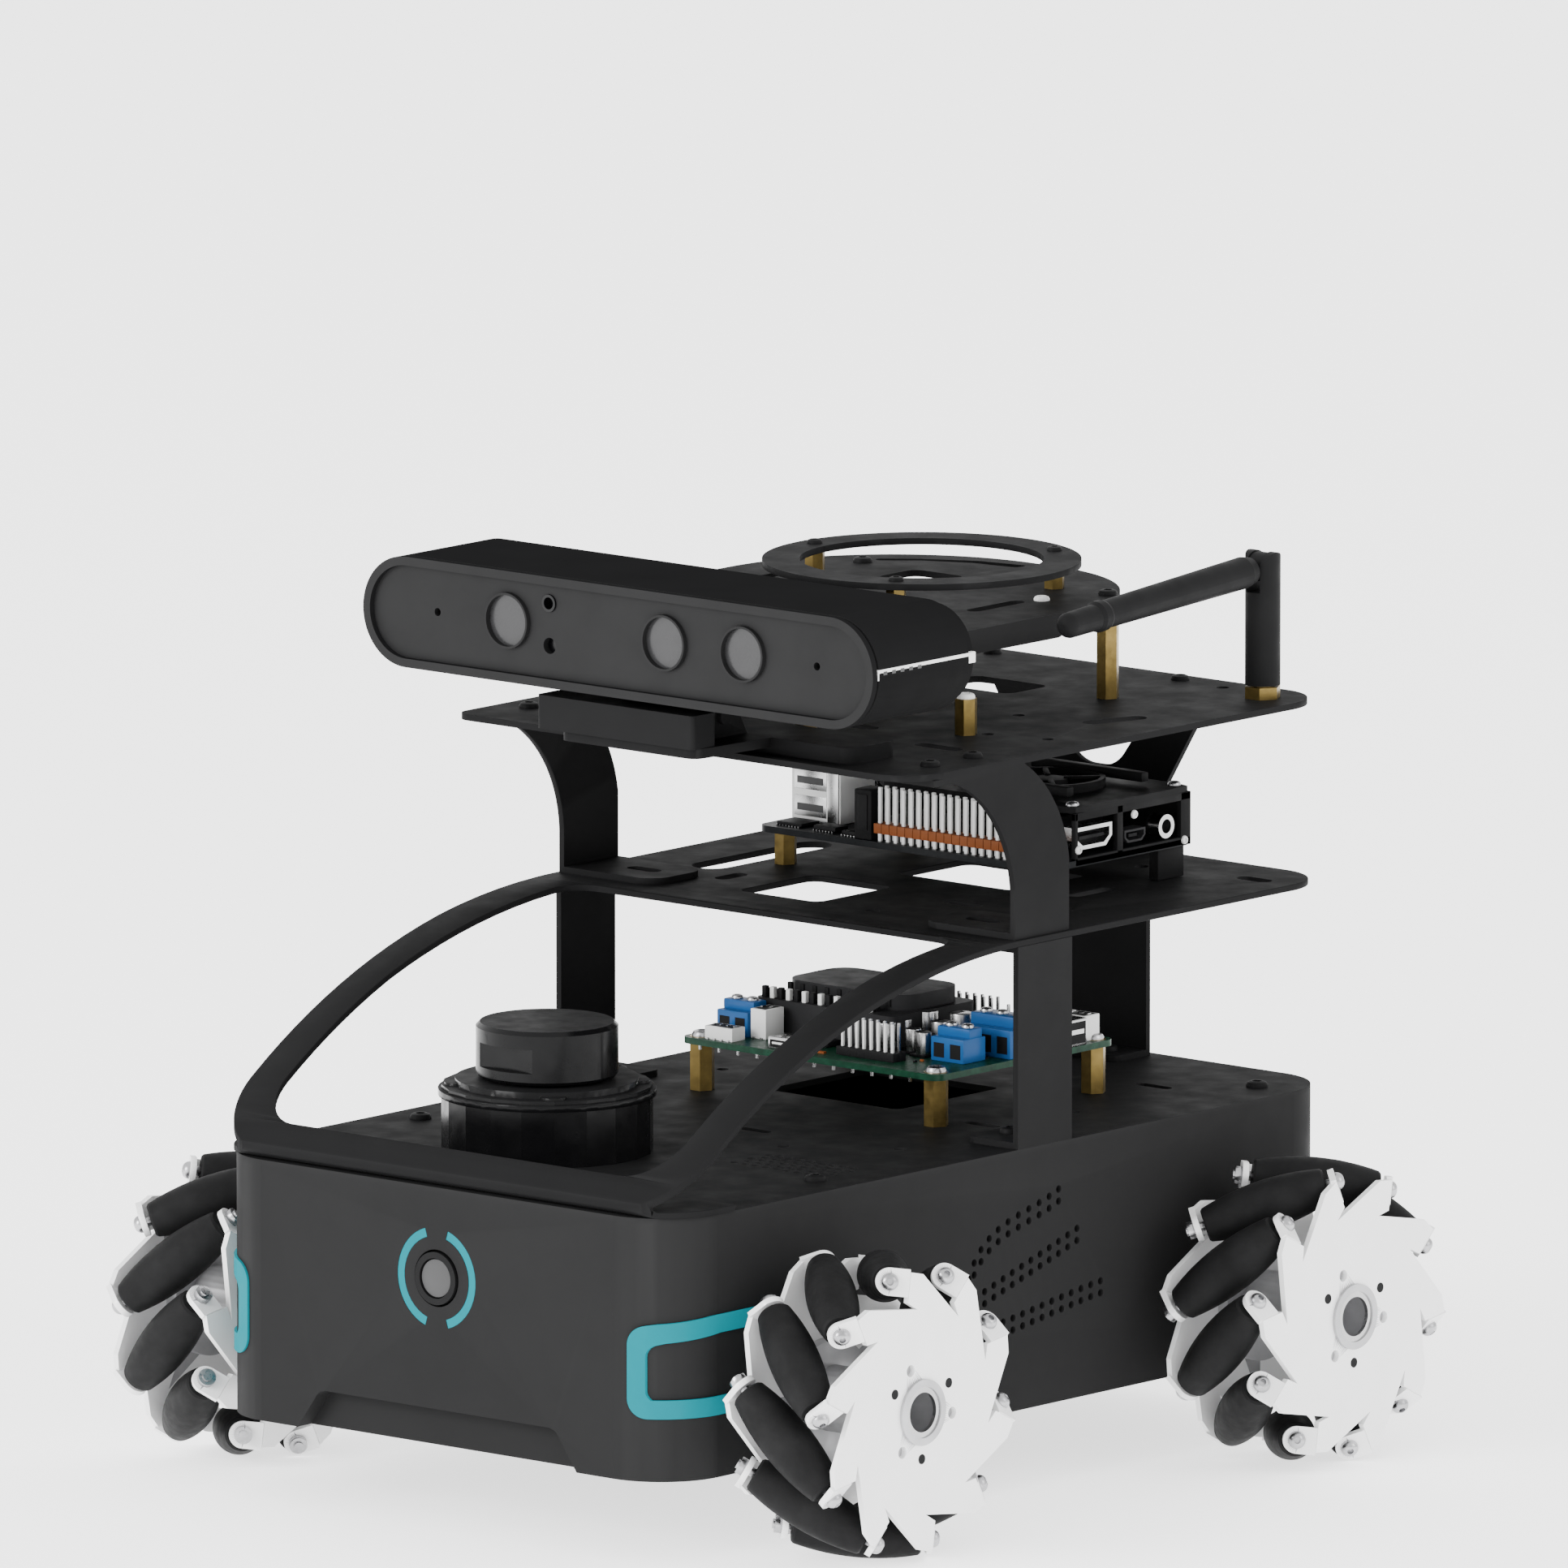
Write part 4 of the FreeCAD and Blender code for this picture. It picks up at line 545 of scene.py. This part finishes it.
# ------------------------------------------------------------------ computer
CASE_LOW = 145.0
TRAY = 146.6
PIN_PITCH = 2.54
COVER_TOP = 159.8
WALL_TOP = 158.4
WALL_IN, WALL_OUT = 46.6, 48
PORT_FACE = 47.6
FAN_X, FAN_Y, FAN_R = 21.0, 79.0, 14.0
case = Build()
case.slab(rounded_outline(-46, 48, 46, 102, 3), CASE_LOW, TRAY, BOARD_DARK, 0.0001)
for i in range(20):
    middle = -8.5 + (i + 0.5) * PIN_PITCH
    case.block(mm(middle - 1.23, 46.6, 148.6), mm(middle + 1.23, 51.4, 151.1), ORANGE_PLASTIC, 0.0002)
    for row in (47.8, 50.3):
        case.block(mm(middle - 0.5, row - 0.4, 151), mm(middle + 0.5, row + 0.4, 160.2),
                   WHITE_PLASTIC, 0.00025)
        case.block(mm(middle - 0.5, row - 0.4, TRAY - 0.4), mm(middle + 0.5, row + 0.4, 148.7),
                   WHITE_PLASTIC, 0.0002)
case.block(mm(-14.8, 46.6, TRAY), mm(-9.2, 53, 159.2), BLACK_PLASTIC, 0.0005)
case.block(mm(-13.6, 46.3, 149), mm(-10.4, 47, 158), CHIP, 0.0002)
case.block(mm(-45, 58, TRAY), mm(-29, 71.4, TRAY + 14.4), WHITE_PLASTIC, 0.0005)
for level in (1.2, 8.0):
    case.block(mm(-44, 57.9, TRAY + level), mm(-33.5, 58.4, TRAY + level + 5.2), TIN, 0.0002)
    case.block(mm(-43, 57.8, TRAY + level + 1.4), mm(-34.5, 58.2, TRAY + level + 3.2), GREY_PLASTIC, 0.0001)
case.block(mm(-33, 57.6, TRAY), mm(-29.4, 58.4, TRAY + 13.6), TIN, 0.0002)
socket_shell(case, -45, 72.2, TRAY, 16, 13.4, 14.4)
socket_shell(case, -45, 88, TRAY, 17, 12, 12.8)
case.block(mm(-12, 62, TRAY), mm(26, 94, TRAY + 6), CHIP, 0.0005)
for i in range(10):
    case.block(mm(-11.4 + 3.7 * i, 62.4, TRAY + 5.8), mm(-10.0 + 3.7 * i, 93.6, TRAY + 9.4), CHIP, 0.0002)


def plate_with_hole(build, spots, hole_x, hole_y, radius, low, high, finish, steps):
    """Flat plate whose round hole is bridged to the outline ray by ray."""
    perimeter = [Vector((x, y, 0)) for x, y in spots]
    rim, hole = [], []
    for i in range(steps):
        angle = 2 * math.pi * i / steps
        ray = Vector((math.cos(angle), math.sin(angle), 0))
        best = None
        for j, first in enumerate(perimeter):
            second = perimeter[(j + 1) % len(perimeter)]
            edge = second - first
            det = ray.x * -edge.y + edge.x * ray.y
            if abs(det) < 1e-9:
                continue
            offset = first - Vector((hole_x, hole_y, 0))
            reach = (offset.x * -edge.y + edge.x * offset.y) / det
            share = (ray.x * offset.y - ray.y * offset.x) / det
            if reach > 0 and -1e-6 <= share <= 1 + 1e-6 and (best is None or reach < best):
                best = reach
        rim.append((hole_x + ray.x * best, hole_y + ray.y * best))
        hole.append((hole_x + radius * math.cos(angle), hole_y + radius * math.sin(angle)))
    rows = [build.row(mm(x, y, level) for x, y in points)
            for points, level in ((rim, low), (rim, high), (hole, high), (hole, low))]
    build.bridge(rows, wrap=True)
    build.close([vert for row in rows for vert in row], finish)


def port_rim(build, y0, y1, z0, z1, finish):
    """Lip of a flat port, a rectangle whose lower corners are cut off, round a dark mouth."""
    cut = (z1 - z0) * 0.42
    outer = [(y0, z1), (y1, z1), (y1, z0 + cut), (y1 - cut, z0), (y0 + cut, z0), (y0, z0 + cut)]
    middle_y, middle_z = (y0 + y1) / 2, (z0 + z1) / 2
    inner = [(middle_y + (y - middle_y) * 0.86, middle_z + (z - middle_z) * 0.66) for y, z in outer]
    back = PORT_FACE - 4
    rows = [build.row(mm(x, y, z) for y, z in spots)
            for spots, x in ((outer, back), (outer, PORT_FACE), (inner, PORT_FACE), (inner, back))]
    build.bridge(rows, wrap=True)
    build.close([vert for row in rows for vert in row], finish)
    build.block(mm(PORT_FACE - 3.6, y0 + 0.6, z0 + 0.6), mm(PORT_FACE - 3, y1 - 0.6, z1 - 0.6), CHIP, 0)
    build.block(mm(PORT_FACE - 3.2, y0 + 2.4, middle_z - 0.4),
                mm(PORT_FACE - 0.7, y1 - 2.4, middle_z + 0.4), CHIP, 0)


plate_with_hole(case, rounded_outline(-18, 48, 57, 101.6, 2.2), FAN_X, FAN_Y, FAN_R, 158.2, COVER_TOP,
                BLACK_PLASTIC, 56)
case.block(mm(WALL_IN, 57.2, CASE_LOW + 0.1), mm(WALL_OUT, 101.4, CASE_LOW + 2.2), BLACK_PLASTIC, 0.0002)
case.block(mm(WALL_IN, 57.2, 156.4), mm(WALL_OUT, 101.4, WALL_TOP), BLACK_PLASTIC, 0.0002)
for y0, y1 in ((57.2, 58.2), (73.2, 75.4), (97.6, 101.4)):
    case.block(mm(WALL_IN, y0, CASE_LOW + 0.1), mm(WALL_OUT, y1, WALL_TOP), BLACK_PLASTIC, 0.0002)
case.block(mm(-17, 100, CASE_LOW), mm(WALL_IN, 101.4, WALL_TOP), BLACK_PLASTIC, 0.0003)
port_rim(case, 57.4, 71.6, 149.0, 154.6, TIN)
port_rim(case, 76.4, 84.4, 148.4, 151.6, GREY_DARK)
case.ring(mm(44, 92.5, 150.6), (1, 0, 0), 3.0 * MM, 1.8 * MM, 3.6 * MM, TIN, 24)
case.rod(mm(43, 92.5, 150.6), mm(45, 92.5, 150.6), 2.6 * MM, CHIP)
for x, y in ((44.6, 99), (44.6, 60), (-14.6, 99), (-14.6, 60)):
    case.screw(mm(x, y, COVER_TOP), (0, 0, 1), 1.7 * MM)
for y, z in ((58.2, 149.2), (98.8, 146.4), (79.5, 155.4)):
    case.screw(mm(WALL_OUT, y, z), (1, 0, 0), 1.1 * MM, WHITE_PLASTIC)
case.ring(mm(FAN_X, FAN_Y, 159.6), (0, 0, 1), FAN_R * MM, (FAN_R - 1.3) * MM, 2.4 * MM, BLACK_PLASTIC, 56,
          0.0002)
case.rod(mm(FAN_X, FAN_Y, 156.6), mm(FAN_X, FAN_Y, 161.6), 4.6 * MM, CHIP, bevel=0.0004)
for i in range(7):
    angle = 2 * math.pi * i / 7
    turn = Matrix.Rotation(angle, 4, "Z") @ Matrix.Rotation(math.radians(32), 4, "X")
    spot = Vector(mm(FAN_X + 8.4 * math.cos(angle), FAN_Y + 8.4 * math.sin(angle), 158.9))
    half = Vector(mm(4.1, 2.6, 0.3))
    case.block(spot - half, spot + half, CHIP, 0.0001, turn)
for i in range(4):
    angle = math.pi / 4 + math.pi * i / 2
    spot = Vector(mm(FAN_X + 8.6 * math.cos(angle), FAN_Y + 8.6 * math.sin(angle), 161.6))
    half = Vector(mm(5.0, 0.7, 0.35))
    case.block(spot - half, spot + half, BLACK_PLASTIC, 0.0001, Matrix.Rotation(angle, 4, "Z"))
case.block(mm(4, 63.4, 160.8), mm(40, 66, 163.2), BLACK_PLASTIC, 0.0004)
case.block(mm(4, 92, 160.8), mm(40, 94.6, 163.2), BLACK_PLASTIC, 0.0004)
case.block(mm(44, 90, 137.1), mm(47, 100, CASE_LOW), BLACK_PLASTIC, 0.0004)
for x, y, width, depth, height in ((-20, 48, 5, 4, 1.2), (-30, 49, 7, 5, 1.3), (-42, 49, 8, 7, 1.0)):
    chip(case, x, y, TRAY, width, depth, height)
for i in range(20):
    x = random.uniform(-44, 42)
    y = random.uniform(52.5, 56)
    case.block(mm(x, y, TRAY), mm(x + 1.2, y + 0.7, TRAY + 0.5), random.choice((CHIP, TIN)), 0)
case.finish("computer_detail", "frame", "dark_plastic", "computer")

# ------------------------------------------------------------------ fixings and small fittings
DECK = 85.0
MID = 137.0
TOP = 182.2
SHEET = 1.6
SHELF = 208
RING_TOP = 217.4
UP = (0, 0, 1)
fixings = Build()
plate_screws = [(x, y, DECK, 2.7) for x in (-64, 64) for y in (-60, 108)]
for side in (-1, 1):
    plate_screws += [(side * 64, 13.75, DECK + SHEET, 2.7), (side * 64, 13.75, MID, 2.7),
                     (side * 65, -18, TOP, 2.5), (side * 65, -2, TOP, 2.5),
                     (side * 9, 116, DECK + SHEET, 2.5), (side * 9, 116, MID, 2.5),
                     (side * 11, 117, MID + SHEET, 2.5), (side * 30.5, 118, TOP, 2.3)]
plate_screws += [(x, -110, DECK + SHEET, 2.6) for x in (-42, 0, 42)]
plate_screws += [(x, y, SHELF, 2.4) for x, y in ((-44, 20), (8, 2), (-44, 84), (34, 86))]
for turn in (math.radians(angle) for angle in (60, 180, 300)):
    plate_screws.append((34.8 * math.cos(turn), 55 + 34.8 * math.sin(turn), RING_TOP, 1.9))
for x, y, z, radius in plate_screws:
    fixings.screw(mm(x, y, z), UP, radius * MM, BLACK_PLASTIC)
fixings.screw(mm(27, 69, SHELF), UP, 2.0 * MM, WHITE_PLASTIC)
fixings.screw(mm(42, 22.5, 191.2), UP, 2.3 * MM, WHITE_PLASTIC)
for x in (-58, 58):
    for y in (-108, 108):
        fixings.screw(mm(x, y, 20), (0, 0, -1), 2.4 * MM)
fixings.finish("frame_screws", "frame", "motor_steel")

# ------------------------------------------------------------------ wheel fittings
for tag, side in WHEEL_SIDES.items():
    centre = Vector(joints["drive_" + tag]["pos_m"])
    face = Vector((side * 117.0 * MM, centre.y, centre.z))
    outward = Vector((side, 0, 0))
    fittings = Build()
    for turn in (math.radians(angle) for angle in (30, 150, 270)):
        spot = face + Vector((0, 11.6 * MM * math.cos(turn), 11.6 * MM * math.sin(turn)))
        fittings.rod(spot - outward * 1.0 * MM, spot + outward * 0.08 * MM, 1.25 * MM, CHIP, sides=20)
    fittings.ring(face - outward * 0.6 * MM, outward, 6.6 * MM, 4.9 * MM, 1.0 * MM, TIN, 48, 0.0002)
    fittings.finish("wheel_fittings_" + tag, "wheel_" + tag, "wheel_alloy")

# ------------------------------------------------------------------ camera details
FACE = face_y / MM
FORWARD = (0, -1, 0)
eyes = Build()
for x in LENSES:
    eyes.ring(mm(x, FACE + 1.9, LENS_Z), FORWARD, 6.95 * MM, 6.4 * MM, 1.5 * MM, CAMERA_FACE, 56, 0.0001)
eyes.ring(mm(-23, FACE + 3.3, LENS_Z + 5.7), FORWARD, 2.15 * MM, 1.5 * MM, 2.2 * MM, LENS_DARK, 32)
# White strip with grey ticks along the camera's right end, at mid-height of the body.
eyes.block(mm(80.4, -58, 210.2), mm(82.45, -21.4, 212.9), WHITE_PLASTIC, 0.0002)
for i in range(5):
    eyes.block(mm(82.2, -56 + 3.2 * i, 210.7), mm(82.48, -54.6 + 3.2 * i, 212.3), GREY_PLASTIC, 0)
eyes.finish("camera_eyes", "camera", "camera_shell")

# ------------------------------------------------------------------ button
button_detail = Build()
FRONT = -127.6
button_detail.ring(mm(0, FRONT + 5.0, BUTTON_Z), FORWARD, 6.55 * MM, 5.0 * MM, 4.95 * MM, BLACK_PLASTIC, 56,
                   0.0004)
button_detail.rod(mm(0, FRONT + 5.0, BUTTON_Z), mm(0, FRONT + 0.5, BUTTON_Z), 4.75 * MM, GREY_PLASTIC,
                  sides=56, bevel=0.0003)
button_detail.ring(mm(0, FRONT + 6.4, BUTTON_Z), FORWARD, 7.9 * MM, 4.4 * MM, 1.8 * MM, BLACK_PLASTIC, 48)
button_detail.finish("power_button_detail", "button", "button_grey", "power_button")


# ------------------------------------------------------------------ studio
AZIMUTH = math.radians(40.69)
ELEVATION = math.radians(9.83)
DISTANCE = 8.0
PIXELS_PER_METRE = 5003.0
FRAME_PIXELS = 1932.0
away = Vector((math.sin(AZIMUTH) * math.cos(ELEVATION), -math.cos(AZIMUTH) * math.cos(ELEVATION),
               math.sin(ELEVATION)))
right = Vector((math.cos(AZIMUTH), math.sin(AZIMUTH), 0))
up = right.cross(-away)
MIDDLE = Vector((0, 0, 0.1))
aim = MIDDLE + up * 0.0670 + right * 0.00185
camera_data = bpy.data.cameras.new("photo_camera")
camera_data.sensor_width = 36
camera_data.lens = 36 * PIXELS_PER_METRE * DISTANCE / FRAME_PIXELS
camera_data.clip_end = 50
camera_data.clip_start = 0.1
camera_object = bpy.data.objects.new("photo_camera", camera_data)
camera_object.matrix_world = Matrix((
    (right.x, up.x, away.x, 0), (right.y, up.y, away.y, 0), (right.z, up.z, away.z, 0), (0, 0, 0, 1)))
camera_object.location = aim + away * DISTANCE
bpy.context.scene.collection.objects.link(camera_object)
bpy.context.scene.camera = camera_object


def soft_light(name, place, size, power):
    """Square area light aimed at the middle of the robot."""
    data = bpy.data.lights.new(name, "AREA")
    data.size = size
    data.energy = power
    thing = bpy.data.objects.new(name, data)
    thing.location = place
    thing.rotation_euler = (MIDDLE - Vector(place)).to_track_quat("-Z", "Y").to_euler()
    bpy.context.scene.collection.objects.link(thing)


world = bpy.data.worlds.new("studio")
bpy.context.scene.world = world
world.use_nodes = True
world.node_tree.nodes["Background"].inputs["Color"].default_value = (1, 1, 1, 1)
world.node_tree.nodes["Background"].inputs["Strength"].default_value = 1.8
soft_light("key", (-0.7, -2.0, 0.9), 1.0, 45)
soft_light("side", (2.0, 0.5, 1.1), 1.2, 14)

floor_mesh = bpy.data.meshes.new("floor")
floor_mesh.from_pydata([(-6, -6, 0), (6, -6, 0), (6, 6, 0), (-6, 6, 0)], [], [(0, 1, 2, 3)])
floor_mesh.materials.append(FLOOR)
floor = bpy.data.objects.new("floor", floor_mesh)
floor.location.z = -0.0002
bpy.context.scene.collection.objects.link(floor)
